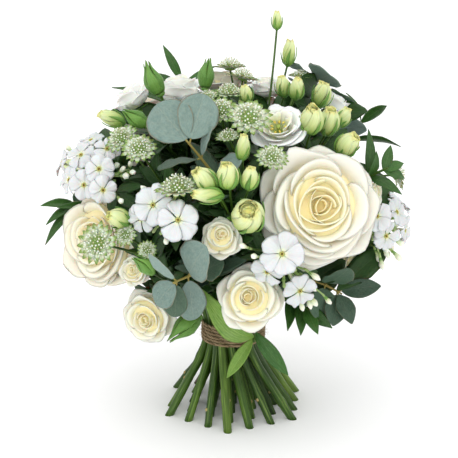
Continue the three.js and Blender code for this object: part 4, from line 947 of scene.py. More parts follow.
def lisianthus_petals(piece, head, random, count=14, span=0.95):
    """Ruffled cups of lisianthus: broad petals in two or three turns, waved at the rim."""
    axes, radius, depth = frame_of(head["arrive"]), head["radius"], head["depth"]
    t, s = spans(13, 17, 0.9)
    for k in range(count):
        out = (k + 1) / count
        turn = k * SPIRAL + 0.2 * (random.random() - 0.5)
        root = vec(radius * 0.09, depth * 0.12)
        belly = vec(radius * (0.32 + 0.42 * out), depth * (0.4 - 0.14 * out))
        rim = vec(radius * (0.34 + 0.62 * out ** 1.2), depth * (1.0 - 0.36 * out ** 1.4))
        rim *= 1 + 0.07 * (random.random(2) - 0.5)
        reach = t * (1 - 0.17 * np.abs(s) ** 2.8)
        a, b, c = (1 - reach) ** 2, 2 * reach * (1 - reach), reach ** 2
        r = a * root[0] + b * belly[0] + c * rim[0]
        z = a * root[1] + b * belly[1] + c * rim[1]
        phase = any_turn(random, 3)
        ruffle = np.sin(4.2 * s + phase[0]) + 0.55 * np.sin(8.5 * s + phase[1])
        ruffle = (ruffle + 0.25 * np.sin(15 * s + phase[2])) * radius * 0.055 * t ** 2.4
        edge = radius * 0.12 * np.maximum(0, reach - 0.7) ** 2 / 0.09
        r = r + 0.8 * ruffle + edge + 0.04 * radius * s * t
        z = z + 0.9 * ruffle - 0.5 * edge * np.maximum(0, reach - 0.7) / 0.3
        angle = turn + s * span * (0.4 + 0.6 * np.sin(np.minimum(1, reach * 1.15) * math.pi / 2))
        grid = placed(head["base"], axes, r * np.cos(angle), r * np.sin(angle), z)
        sheet(piece, grid, marks(s, t, out), random.random(), "lisianthus", 0.6)


def blade(piece, base, tip, face, width, look, random, outline, arch, cup, wave, grid, thick, curl=0.0,
          bend=None):
    """A leaf from its base to its tip, with a groove at the midrib and a wavy edge; outline gives the
    place of its widest part and the fullness of its sides."""
    rows, columns = grid
    length = np.linalg.norm(tip - base)
    along = unit(tip - base)
    face = face - along * (face @ along)
    up = unit(face) if np.linalg.norm(face) > 1e-6 else frame_of(along)[0]
    side = np.cross(up, along)
    t = (1 - np.cos(np.linspace(0, math.pi, rows))) / 2
    widest = math.log(0.5) / math.log(outline[0])
    half = width / 2 * np.maximum(0.02, np.sin(math.pi * t ** widest)) ** outline[1]
    half[0] = half[-1] = 0.25
    t, half = t[:, None], half[:, None]
    s = np.linspace(-1, 1, columns)[None]
    phase = any_turn(random, 2)
    lift = arch * length * 4 * t * (1 - t) + cup * half * np.abs(s) ** 1.6 - curl * length * t ** 3
    lift = lift + wave * width * s ** 2 * np.sin(5 * t * math.pi + phase[0]) * np.sin(math.pi * t)
    lift = lift + 0.5 * wave * width * np.abs(s) * np.sin(9 * t + phase[1] + 2 * s)
    place = base + along * (length * t)[..., None] + side * (s * half)[..., None] + up * lift[..., None]
    if bend is not None:
        place = place + bend * (4 * t * (1 - t))[..., None]
    sheet(piece, place, marks(s, t), random.random(), look, thick)


def sepal(piece, base, aim, turn, reach, width, lean, look, curl, tint):
    """A narrow pointed sepal that leaves the base of a bloom or bud in one direction round its aim."""
    across, over, along = frame_of(aim)
    out = spoke(turn, across, over)
    side = np.cross(along, out)
    rows = 9
    t = np.linspace(0, 1, rows)
    angle = lean + curl * t ** 1.5
    step = reach / (rows - 1)
    r = np.concatenate([[0], np.cumsum(np.sin((angle[1:] + angle[:-1]) / 2) * step)])
    z = np.concatenate([[0], np.cumsum(np.cos((angle[1:] + angle[:-1]) / 2) * step)])
    half = width / 2 * np.sin(math.pi * np.clip(0.16 + 0.84 * t, 0, 1)) ** 0.8 + 0.12
    s = np.linspace(-1, 1, 5)[None]
    grid = (base + out * r[:, None, None] + along * z[:, None, None]
            + side * (s * half[:, None])[..., None]
            + along * (0.35 * half[:, None] * s ** 2)[..., None] * math.sin(lean + 0.3)
            - out * (0.35 * half[:, None] * s ** 2)[..., None] * math.cos(lean))
    sheet(piece, grid, marks(s, t[:, None]), tint, look, 0.6)


def ball(piece, middle, radius, look, tint, stretch, aim, sides, rings):
    angle = np.linspace(0.02, math.pi - 0.02, rings + 1)
    profile = np.stack([radius * np.sin(angle), -radius * stretch * np.cos(angle)], 1)
    turned(piece, middle, aim, profile, look, tint, sides)


# Buds, small heads and what is green under a bloom
def rose_bud(piece, head, random):
    """A green rose bud: furled petals inside five long sepals drawn together to a thin point."""
    middle, aim, length = head["middle"], head["arrive"], head["length"]
    base = middle - aim * length / 2
    radius = 0.32 * length
    profile = [(0.1, 0), (0.62, 0.05), (0.64, 0.14), (0.74, 0.22), (0.96, 0.36), (0.92, 0.5), (0.66, 0.68),
               (0.34, 0.84), (0.06, 0.95)]
    turned(piece, base, aim, scaled(profile, radius, length), "bud_green", random.random(), 18,
           lambda turn, share: 1 + 0.06 * np.sin(5 * turn + 7 * share) * share)
    first = any_turn(random)
    across, over, along = frame_of(aim)
    bow = (across * (random.random() - 0.5) + over * (random.random() - 0.5)) * 0.3 * length
    t, s = spans(15, 7)
    for k in range(5):
        out = spoke(first + FIFTH * k, across, over)
        side = np.cross(along, out)
        loose = 0.35 * radius * random.random() if k > 2 else 0.1 * radius * random.random()
        r = np.interp(t, [0, 0.08, 0.16, 0.36, 0.52, 0.7, 0.86, 1],
                      np.array([0.5, 0.72, 0.84, 1.08, 1.0, 0.66, 0.28, 0.12]) * radius)
        r = r + loose * smooth(t, 0.7, 1)
        z = length * (0.03 + (1.2 + 0.12 * random.random()) * t)
        half = np.interp(t, [0, 0.12, 0.36, 0.55, 0.75, 0.9, 1],
                         np.array([0.5, 0.66, 0.72, 0.56, 0.26, 0.1, 0.04]) * radius)
        grid = (base + out * (r - 0.34 * half * s ** 2 + 0.06 * radius * (1 - np.abs(s)) ** 2)[..., None]
                + along * (z + 0 * s)[..., None] + side * (half * s)[..., None]
                + bow * (smooth(t, 0.55, 1.1) + 0 * s)[..., None])
        sheet(piece, grid, marks(s, t), random.random(), "bud_sepal", 0.7)
    ball(piece, base, 0.55 * radius, "bud_sepal", 0.3, 0.7, aim, 12, 6)


def lisianthus_bud(piece, head, random):
    """A furled lisianthus bud: four or five pleated petals wound round others up to a small ragged mouth,
    with slim sepals pressed to their foot."""
    middle, aim, length, radius = head["middle"], head["arrive"], head["length"], head["radius"]
    base = middle - aim * length / 2
    plump = radius > 0.42 * length
    tall = [0, 0.04, 0.12, 0.24, 0.4, 0.55, 0.7, 0.82, 0.92, 1.0]
    wide = [0.22, 0.46, 0.7, 0.9, 1.0, 0.97, 0.83, 0.64, 0.47, 0.42]
    if plump:
        wide = [0.3, 0.66, 0.88, 1.0, 1.02, 1.0, 0.93, 0.8, 0.6, 0.44]
    axes = across, over, along = frame_of(aim)
    core = [(np.interp(h, tall, wide) * radius * 0.8, h * length) for h in np.linspace(0, 0.7, 9)]
    core += scaled([(0.3, 0.82), (0.1, 0.86)], radius, length)
    turned(piece, base, aim, core, "bud_petal", random.random(), 14)
    phase, hand = any_turn(random), 1 if random.random() > 0.3 else -1
    twist = hand * (0.9 + 0.7 * random.random())
    t, s = spans(15, 11)
    count = 5 if radius > 5.5 else 4
    for k in range(count + (7 if plump else 2)):
        inner = k >= count
        close = 0.9 - 0.11 * (k - count) if plump and inner else 0.62 if inner else 1.0
        tip = 1.0 - 0.07 * random.random() - 0.1 * np.abs(s - 0.2) ** 1.8
        up = t * tip
        wave = any_turn(random, 2)
        r = np.interp(up, tall, wide) * radius * (1 - (1 - close) * smooth(up, 0.3, 0.9))
        pleat = np.sin(math.pi * np.clip(up, 0, 0.9)) ** 0.7
        r = r * (0.9 + 0.09 * hand * s + pleat * (0.05 * np.cos(6.5 * s + wave[0]) + 0.06 * (1 - s ** 2)))
        lip = smooth(up, 0.84, 1.0)
        r = np.maximum(r + radius * lip * (0.1 + 0.09 * np.sin(5 * s + wave[1])), 0.3)
        angle = phase + 2 * math.pi * k / count * (1.1 if inner else 1) + s * 1.25 + twist * up
        z = length * (up + 0.012 * lip * np.sin(9 * s + wave[0]) + (0.03 * lip if inner and plump else 0))
        grid = placed(base, axes, r * np.cos(angle), r * np.sin(angle), z)
        sheet(piece, grid, marks(s, up), random.random(), "bud_petal", 0.45)
    t, s = spans(11, 5)
    for k in range(count):
        turn = phase + 6.283 * k / count + 0.5 * random.random()
        reach = 0.45 + 0.4 * random.random()
        r = np.interp(t * reach, tall, wide) * radius * 1.1 + 0.4 + 0.22 * radius * t ** 4 * random.random()
        half = (0.2 * radius + 0.6) * (1 - t ** 1.5) + 0.15
        turn = turn + 0.5 * twist * t * reach
        out = np.cos(turn)[..., None] * across + np.sin(turn)[..., None] * over
        grid = (base + out * (r - 0.35 * half * s ** 2)[..., None]
                + along * (length * reach * t + 0 * s)[..., None] + np.cross(along, out) * (half * s)[..., None])
        sheet(piece, grid, marks(s, t), random.random(), "bud_sepal", 0.7)
    foot = scaled([(0.16, -0.06), (0.42, 0.0), (0.6, 0.07), (0.5, 0.1)], radius, length)
    turned(piece, base, aim, foot, "bud_sepal", 0.4, 12)


def slim_bud(piece, head, random):
    """A closed phlox bud: a thin green tube under a white furled club."""
    away = head["arrive"]
    foot = head["tip"] - away * 14
    profile = [(0.75, -0.6), (0.95, 1), (0.95, 4.6), (1.1, 6.5), (1.7, 8.6), (2.2, 10.8), (1.9, 12.6),
               (0.9, 13.8), (0.2, 14.2)]
    turned(piece, foot, away, profile, "slim_bud", random.random(), 12,
           lambda turn, share: 1 + 0.12 * np.cos(5 * turn + 6 * share) * smooth(share, 0.5, 0.8))
    for k in range(5):
        sepal(piece, foot, away, FIFTH * k, 5.0, 1.2, 0.22, "sepal", 0.1, random.random())


def astrantia(piece, head, random):
    """Papery pointed bracts under a dome of tiny florets on fine stalks."""
    aim, radius = head["arrive"], head["radius"]
    across, over, along = frame_of(aim)
    base = head["middle"] - aim * 0.2 * radius
    for layer, (count, share, lift, wide) in enumerate(((17, 1.06, 0.18, 0.26), (12, 0.88, 0.3, 0.23))):
        for k in range(count):
            turn = 2 * math.pi * (k + 0.5 * layer + 0.25 * (random.random() - 0.5)) / count
            reach = radius * share * (0.92 + 0.13 * random.random())
            out = spoke(turn, across, over)
            root = base + out * 0.16 * radius + along * 0.03 * radius
            tip = base + out * reach + along * radius * (lift + 0.1 * (random.random() - 0.5))
            blade(piece, root, tip, along - 0.5 * out, 1.2 * wide * radius, "bract", random, (0.62, 0.75), 0.04,
                  0.35, 0.03, (8, 5), 0.35, -0.02)
    profile = [(0.1, -0.05), (0.3, 0.0), (0.38, 0.12), (0.34, 0.24), (0.2, 0.34), (0.05, 0.38)]
    turned(piece, base, aim, scaled(profile, radius, radius), "astrantia_heart", 0.5, 14)
    florets = 90 if radius > 11 else 60
    for k in range(florets):
        share = (k + 0.5) / florets
        lean = 1.35 * math.sqrt(share)
        out = spoke(SPIRAL * k, across, over) * math.sin(lean) + along * math.cos(lean)
        foot = base + along * 0.08 * radius + out * 0.2 * radius
        end = foot + out * radius * (0.4 - 0.02 * share + 0.12 * random.random())
        tube(piece, [foot, mix(foot, end, 0.5), end], [0.17, 0.14, 0.17], 3, "floret_stalk", random.random())
        swell, look = (0.32, "floret") if k % 3 else (0.12, "floret_green")
        ball(piece, end, 0.032 * radius + swell, look, random.random(), 1.1, out, 5, 2)


def phlox_floret(piece, middle, aim, radius, hub, random):
    """Five broad overlapping petals round an eye, on a slender tube; the dark ball in the eye is painted shade for
    the throat.
    """
    axes = across, over, along = frame_of(aim)
    first = any_turn(random)
    t, s = spans(11, 13)
    for k in range(5):
        turn = first + FIFTH * k + 0.12 * (random.random() - 0.5)
        size = radius * (0.92 + 0.1 * random.random())
        phase = any_turn(random, 4)
        ragged = 0.02 * np.sin(5 * s + phase[0]) + 0.012 * np.sin(12 * s + phase[1])
        notch = 0.04 * np.exp(-(s * 4 + random.random() - 0.5) ** 2)
        reach = 1 - 0.2 * np.abs(s) ** 2.6 - notch + ragged * t ** 3
        r = 1.2 + (size - 1.2) * t * reach
        wide = (0.64 + 0.17 * random.random()) * (0.66 + 0.34 * np.sin(np.minimum(1, t * 1.35) * math.pi / 2))
        angle = turn + s * wide * (1 - 0.08 * t ** 2)
        crease = np.sin(4.7 * s + phase[2]) + 0.6 * np.sin(9.5 * s + phase[3])
        z = size * (0.13 * np.sin(math.pi * t * 0.7) - 0.26 * random.random() ** 1.5 * t ** 2.5
                    + (0.07 + 0.1 * (random.random() - 0.5)) * s * t
                    + 0.34 * (random.random() - 0.65) * np.abs(s) ** 2.2 * t ** 1.6 + 0.07 * crease * t ** 1.2)
        grid = placed(middle, axes, r * np.cos(angle), r * np.sin(angle), z - 0.3)
        sheet(piece, grid, marks(s, t * reach), random.random(), "phlox", 0.5)
    away = hub - middle
    path = smooth_path([middle - along * 0.2, middle - along * 2.5, middle - along * 6 + away * 0.03,
                        mix(middle, hub, 0.45), mix(middle, hub, 0.8), hub], 2.5)
    tube(piece, path, np.linspace(1.25, 0.9, len(path)), 8, "phlox_tube", random.random())
    eye = [(0.6, -1.4), (1.5, -0.5), (1.9, 0.35), (1.6, 0.6), (1.15, 0.3), (0.8, -0.9)]
    turned(piece, middle + along * 0.15, aim, eye, "phlox_eye", 0.5, 14)
    # A dark ball in the eye: painted shade that stands for the shaded throat of the tube.
    ball(piece, middle + along * 0.1, 1.05, "throat_painted_shade", 0.5, 0.5, aim, 10, 4)
    for k in range(4):
        out = spoke(1.57 * k + first, across, over)
        ball(piece, middle + out * 0.85 + along * 0.6, 0.3, "anther", random.random(), 1.6, aim, 6, 4)


def phlox_tuft(piece, hub, aim, count, random):
    """Green phlox buds and calyxes that stand among the florets of a cluster."""
    across, over, along = frame_of(aim)
    for k in range(count):
        lean = 0.25 + 0.95 * math.sqrt((k + 0.5) / count)
        out = spoke(SPIRAL * k, across, over) * math.sin(lean) + along * math.cos(lean)
        reach = 18 + 7 * random.random()
        foot = hub + out * reach - out * 11
        path = smooth_path([hub + out * 1.5, hub + out * 0.5 * reach + along * 0.8, foot], 3)
        tube(piece, path, 0.6, 5, "sepal", random.random())
        profile = [(0.5, -0.4), (1.15, 0.8), (1.2, 4.5), (0.9, 6.5), (1.0, 8), (1.35, 9.6), (1.0, 10.8),
                   (0.2, 11.4)]
        turned(piece, foot, out, profile, "tuft_bud", random.random(), 10,
               lambda turn, share: 1 + 0.14 * np.cos(5 * turn + 5 * share))
        for j in range(4):
            sepal(piece, foot, out, 1.571 * j + k, 6.0, 1.5, 0.22, "sepal", 0.15, random.random())


def bud_fan(piece, hub, tips, random):
    """Long unopened phlox buds on green tubes that spread from one point of a cluster."""
    for tip in tips:
        away = unit(unit(tip - hub) + 0.12 * random.normal(size=3))
        foot = tip - away * 15
        path = smooth_path([hub, mix(hub, foot, 0.55) + 0.6 * random.normal(size=3), foot + away], 3)
        tube(piece, path, np.linspace(0.9, 0.7, len(path)), 6, "tuft_bud", random.random())
        size = 0.85 + 0.3 * random.random()
        profile = [(0.7, -0.5), (1.0, 0.8), (1.05, 4.5), (1.3, 6.5), (2.0, 8.8), (2.35, 10.8), (1.9, 12.8),
                   (0.9, 14.6), (0.15, 15.4)]
        turned(piece, foot, away, scaled(profile, size, 1), "slim_bud", random.random(), 12,
               lambda turn, share: 1 + 0.13 * np.cos(5 * turn + 7 * share) * smooth(share, 0.45, 0.7))
        for k in range(5):
            sepal(piece, foot, away, FIFTH * k + 3 * size, 7.5, 1.7, 0.16, "bud_sepal", 0.12, random.random())


def calyx(piece, head, random):
    """The green hip and five sepals under a bloom."""
    base, aim, radius, depth = head["base"], head["arrive"], head["radius"], head["depth"]
    long = 0.8 if head["kind"] == "lisianthus" else 1.0
    hip = [(0.06 * radius + 0.8, -0.24 * depth)]
    hip += scaled([(0.13, -0.17), (0.15, -0.09), (0.12, -0.02)], radius, depth)
    turned(piece, base, aim, hip, "sepal", 0.5, 14)
    for k in range(5):
        sepal(piece, base - aim * 0.08 * depth, aim, FIFTH * k + 0.3, 0.6 * radius * long, 0.17 * radius, 1.25,
              "sepal", 0.45, random.random())


# What a stem carries for each kind of head; phlox florets are pieces of their own
HEAD_FORMS = {"large_rose": calyx, "spray_rose": calyx, "lisianthus": calyx, "rose_bud": rose_bud,
              "lisianthus_bud": lisianthus_bud, "slim_bud": slim_bud, "astrantia": astrantia}


# Materials: each is a Principled surface fed by the spot and tint of its mesh
def colour(text):
    rgb = [int(text[k:k + 2], 16) / 255 for k in (1, 3, 5)]
    return [c / 12.92 if c <= 0.04045 else ((c + 0.055) / 1.055) ** 2.4 for c in rgb] + [1]


class Net:
    """Short calls that add the nodes of one material."""

    def __init__(self, name, **sockets):
        self.material = bpy.data.materials.new(name)
        self.material.use_nodes = True
        self.tree = self.material.node_tree
        self.shader = self.tree.nodes["Principled BSDF"]
        for socket, value in sockets.items():
            self.shader.inputs[socket.replace("_", " ")].default_value = value
        spot = self.node("ShaderNodeAttribute")
        spot.attribute_name = "spot"
        split = self.node("ShaderNodeSeparateXYZ")
        self.link(spot.outputs["Vector"], split.inputs[0])
        self.spot, self.side, self.along, self.rank = spot.outputs["Vector"], *split.outputs
        tint = self.node("ShaderNodeAttribute")
        tint.attribute_name = "tint"
        self.tint = tint.outputs["Fac"]
        LOOKS[name] = self.material

    def node(self, kind):
        return self.tree.nodes.new(kind)

    def link(self, a, b):
        self.tree.links.new(a, b)

    def put(self, value, socket):
        if isinstance(value, bpy.types.NodeSocket):
            self.link(value, socket)
        else:
            socket.default_value = value

    def math(self, kind, a, b=0.0, c=None, clamp=False):
        node = self.node("ShaderNodeMath")
        node.operation, node.use_clamp = kind, clamp
        self.put(a, node.inputs[0])
        self.put(b, node.inputs[1])
        if c is not None:
            self.put(c, node.inputs[2])
        return node.outputs[0]

    def ramp(self, value, stops):
        node = self.node("ShaderNodeValToRGB")
        elements = node.color_ramp.elements
        while len(elements) < len(stops):
            elements.new(0.5)
        for element, (place, shade) in zip(elements, stops):
            element.position = place
            element.color = colour(shade)
        self.link(value, node.inputs[0])
        return node.outputs[0]

    def blend(self, amount, a, b, kind="MIX"):
        node = self.node("ShaderNodeMix")
        node.data_type, node.blend_type = "RGBA", kind
        self.put(amount, node.inputs["Factor"])
        self.put(a, node.inputs[6])
        self.put(b, node.inputs[7])
        return node.outputs[2]

    def grain(self, stretch, scale, detail):
        """Noise that runs with the petal or leaf: stretch is its fineness across and along."""
        node = self.node("ShaderNodeVectorMath")
        node.operation = "MULTIPLY_ADD"
        self.link(self.spot, node.inputs[0])
        node.inputs[1].default_value = stretch
        shift = self.node("ShaderNodeCombineXYZ")
        self.put(self.math("MULTIPLY", self.tint, 37.0), shift.inputs[0])
        self.put(self.math("MULTIPLY", self.tint, 61.0), shift.inputs[2])
        self.link(shift.outputs[0], node.inputs[2])
        noise = self.node("ShaderNodeTexNoise")
        noise.inputs["Scale"].default_value = scale
        noise.inputs["Detail"].default_value = detail
        self.link(node.outputs[0], noise.inputs["Vector"])
        return noise.outputs["Fac"]

    def solid_grain(self, scale, detail=4.0):
        place = self.node("ShaderNodeTexCoord")
        noise = self.node("ShaderNodeTexNoise")
        noise.inputs["Scale"].default_value = scale
        noise.inputs["Detail"].default_value = detail
        self.link(place.outputs["Object"], noise.inputs["Vector"])
        return noise.outputs["Fac"]

    def finish(self, shade, height=None, strength=0.3, distance=0.0004, rough=None):
        self.link(shade, self.shader.inputs["Base Color"])
        if height is not None:
            bump = self.node("ShaderNodeBump")
            bump.inputs["Strength"].default_value = strength
            bump.inputs["Distance"].default_value = distance
            self.link(height, bump.inputs["Height"])
            self.link(bump.outputs[0], self.shader.inputs["Normal"])
        if rough is not None:
            self.link(rough, self.shader.inputs["Roughness"])


SOFT = {"Subsurface_Weight": 0.15, "Subsurface_Scale": 0.003, "Roughness": 0.6, "Specular_IOR_Level": 0.25}
SOFT_LEAF = {"Subsurface_Weight": 0.06, "Subsurface_Scale": 0.002, "Roughness": 0.55, "Specular_IOR_Level": 0.3}
FRESH = {"Roughness": 0.38, "Specular_IOR_Level": 0.35, "Subsurface_Weight": 0.03, "Subsurface_Scale": 0.002}


def petal_look(name, stops, root, rim, vein=0.1):
    """Petals that go from a deep shade in the heart to a pale one outside, with fine veins."""
    net = Net(name, **SOFT)
    depth = net.math("MULTIPLY_ADD", net.along, 0.45, net.math("MULTIPLY_ADD", net.rank, 0.85, -0.22))
    depth = net.math("ADD", depth, net.math("MULTIPLY_ADD", net.tint, 0.12, -0.06))
    cloud = net.grain((1.1, 1.3, 0.2), 1.6, 3.0)
    depth = net.math("ADD", depth, net.math("MULTIPLY_ADD", cloud, 0.24, -0.12), clamp=True)
    shade = net.ramp(depth, stops)
    foot = net.math("SUBTRACT", 1.0, net.math("MULTIPLY", net.along, 3.2), clamp=True)
    shade = net.blend(net.math("MULTIPLY", foot, 0.7), shade, colour(root))
    lip = net.math("SUBTRACT", net.along, 0.93)
    lip = net.math("MULTIPLY", lip, 9.0, clamp=True)
    shade = net.blend(net.math("MULTIPLY", lip, 0.5), shade, colour(rim))
    veins = net.grain((26, 1.6, 0), 1.0, 5.0)
    dark = net.math("MULTIPLY_ADD", veins, 2.0, -0.75, clamp=True)
    shade = net.blend(net.math("MULTIPLY", dark, vein), shade, colour(root), "MULTIPLY")
    net.finish(shade, veins, 0.15, 0.0005, net.math("MULTIPLY_ADD", cloud, 0.25, 0.45))


def leaf_look(name, dark, light, vein, rim, waxy, pinnate, vein_amount, lip):
    """Leaves with a midrib, side veins, an edge of another shade and a mottled blade."""
    net = Net(name, **SOFT_LEAF)
    across = net.math("ABSOLUTE", net.side)
    cloud = net.grain((3.0, 4.0, 0), 2.2, 8.0)
    shade = net.ramp(net.math("MULTIPLY_ADD", net.tint, 0.5, net.math("MULTIPLY", cloud, 0.6)),
                     [(0.2, dark), (0.85, light)])
    mottle = net.math("MULTIPLY_ADD", net.grain((8.0, 11.0, 0), 1.6, 8.0), 2.6, -0.95, clamp=True)
    shade = net.blend(net.math("MULTIPLY", mottle, 0.3), shade, colour(vein))
    middle = net.math("SUBTRACT", 1.0, net.math("MULTIPLY", across, 20.0), clamp=True)
    run = net.math("MULTIPLY_ADD", net.along, pinnate, net.math("MULTIPLY", across, -2.6))
    wave = net.math("SINE", net.math("MULTIPLY", run, 6.283))
    side_veins = net.math("MULTIPLY_ADD", wave, 6.0, -5.1, clamp=True)
    side_veins = net.math("MULTIPLY", side_veins, net.math("SUBTRACT", 1.0, across, clamp=True))
    if pinnate == 0:
        lines = net.math("SINE", net.math("MULTIPLY", net.side, 30.0))
        side_veins = net.math("MULTIPLY_ADD", lines, 1.6, -0.5, clamp=True)
    veins = net.math("MAXIMUM", middle, net.math("MULTIPLY", side_veins, 0.5))
    shade = net.blend(net.math("MULTIPLY", veins, vein_amount), shade, colour(vein))
    edge = net.math("MULTIPLY", net.math("SUBTRACT", across, 0.93), 12.0, clamp=True)
    shade = net.blend(net.math("MULTIPLY", edge, lip), shade, colour(rim))
    bloom = net.solid_grain(900.0, 3.0)
    height = net.math("MULTIPLY_ADD", veins, -0.8, net.math("MULTIPLY", bloom, 0.2))
    net.finish(shade, height, 0.4, 0.0005, net.math("MULTIPLY_ADD", cloud, 0.3, waxy - 0.15))


def stem_look(name, stops):
    """Round stems: long streaks, a slow change of shade along them and small specks."""
    net = Net(name, **FRESH)
    streak = net.grain((9.0, 3.0, 0), 1.0, 4.0)
    slow = net.solid_grain(28.0, 3.0)
    value = net.math("MULTIPLY_ADD", net.tint, 0.75, net.math("MULTIPLY", slow, 0.25))
    shade = net.ramp(value, stops)
    line = net.math("MULTIPLY_ADD", streak, 3.2, -1.1, clamp=True)
    shade = net.blend(net.math("MULTIPLY", line, 0.7), shade, colour("#5E7A3C"), "MULTIPLY")
    pale = net.math("MULTIPLY_ADD", streak, -5.0, 2.3, clamp=True)
    shade = net.blend(net.math("MULTIPLY", pale, 0.5), shade, colour("#8CA650"))
    speck = net.math("MULTIPLY_ADD", net.solid_grain(1500.0, 1.0), 9.0, -6.2, clamp=True)
    shade = net.blend(net.math("MULTIPLY", speck, 0.5), shade, colour("#A98E62"))
    net.finish(shade, streak, 0.5, 0.0007, net.math("MULTIPLY_ADD", slow, 0.3, 0.35))


def plain_look(name, low, high, scale, strength=0.3, sockets=SOFT):
    net = Net(name, **sockets)
    cloud = net.solid_grain(scale, 4.0)
    shade = net.ramp(net.math("MULTIPLY_ADD", net.tint, 0.6, net.math("MULTIPLY", cloud, 0.5)),
                     [(0.15, low), (0.85, high)])
    net.finish(shade, cloud, strength, 0.0004)


# Plain looks: name, two shades, scale of the noise, then strength of the bump and sockets
PLAIN_LOOKS = [
    ("rose_heart", "#FDEBB0", "#FDF2CA", 300.0),
    ("bud_green", "#6F8C3E", "#A3B56C", 500.0),
    ("sepal", "#3F6A22", "#6F9640", 700.0, 0.5, SOFT_LEAF),
    ("tuft_bud", "#6F9446", "#B4C68A", 700.0, 0.4, SOFT_LEAF),
    ("phlox_tube", "#C3CF9C", "#E2E8CE", 500.0),
    ("phlox_eye", "#9A9E4C", "#C4C47E", 900.0),
    # The next look is painted shade for the throat of a phlox floret.
    ("throat_painted_shade", "#3A3A16", "#54521F", 900.0),
    ("scar", "#8E7C48", "#B8A872", 900.0, 0.6),
    ("anther", "#C99A3C", "#E3C05E", 900.0),
    ("stamen", "#D9C24E", "#EAD873", 900.0),
    ("style_green", "#8FAA4A", "#B4C66C", 700.0),
    ("astrantia_heart", "#5E7C36", "#86A256", 900.0),
    ("floret", "#DDE3CC", "#F0F1E8", 900.0),
    ("floret_green", "#8CA464", "#C9C9A6", 900.0),
    ("floret_stalk", "#8EA866", "#BCCC98", 900.0),
]

# Leaf looks: name, dark and light shade, shade of the veins and rim, roughness, pairs of side veins,
# amount of vein, amount of rim
LEAF_LOOKS = [
    ("bud_sepal", "#3F6E24", "#6C9A42", "#93B768", "#8FB25E", 0.4, 7.0, 0.3, 0.3),
    ("eucalyptus", "#4F6A64", "#7F968F", "#A6AE98", "#A98D5C", 0.62, 6.0, 0.22, 0.5),
    # The next look is a darker copy of the eucalyptus look: painted shade for leaves that lie in shade.
    ("eucalyptus_painted_shade", "#263E30", "#46624C", "#6F8068", "#8B7A55", 0.5, 6.0, 0.22, 0.5),
    ("ruscus", "#163810", "#32601F", "#6C8E52", "#2A4C22", 0.34, 14.0, 0.35, 0.0),
    # The next look is painted shade: a near-black green for the inner leaves, standing for the shade inside the
    # dome.
    ("shade_filler", "#0F260C", "#274C1A", "#446A2C", "#2A4C22", 0.45, 8.0, 0.4, 0.0),
    ("broad_light", "#4C7A22", "#74993A", "#B4CC74", "#8FAE52", 0.4, 0.0, 0.4, 0.0),
    ("broad_dark", "#1E4A1A", "#37682A", "#6A9148", "#35602C", 0.25, 0.0, 0.35, 0.0),
]


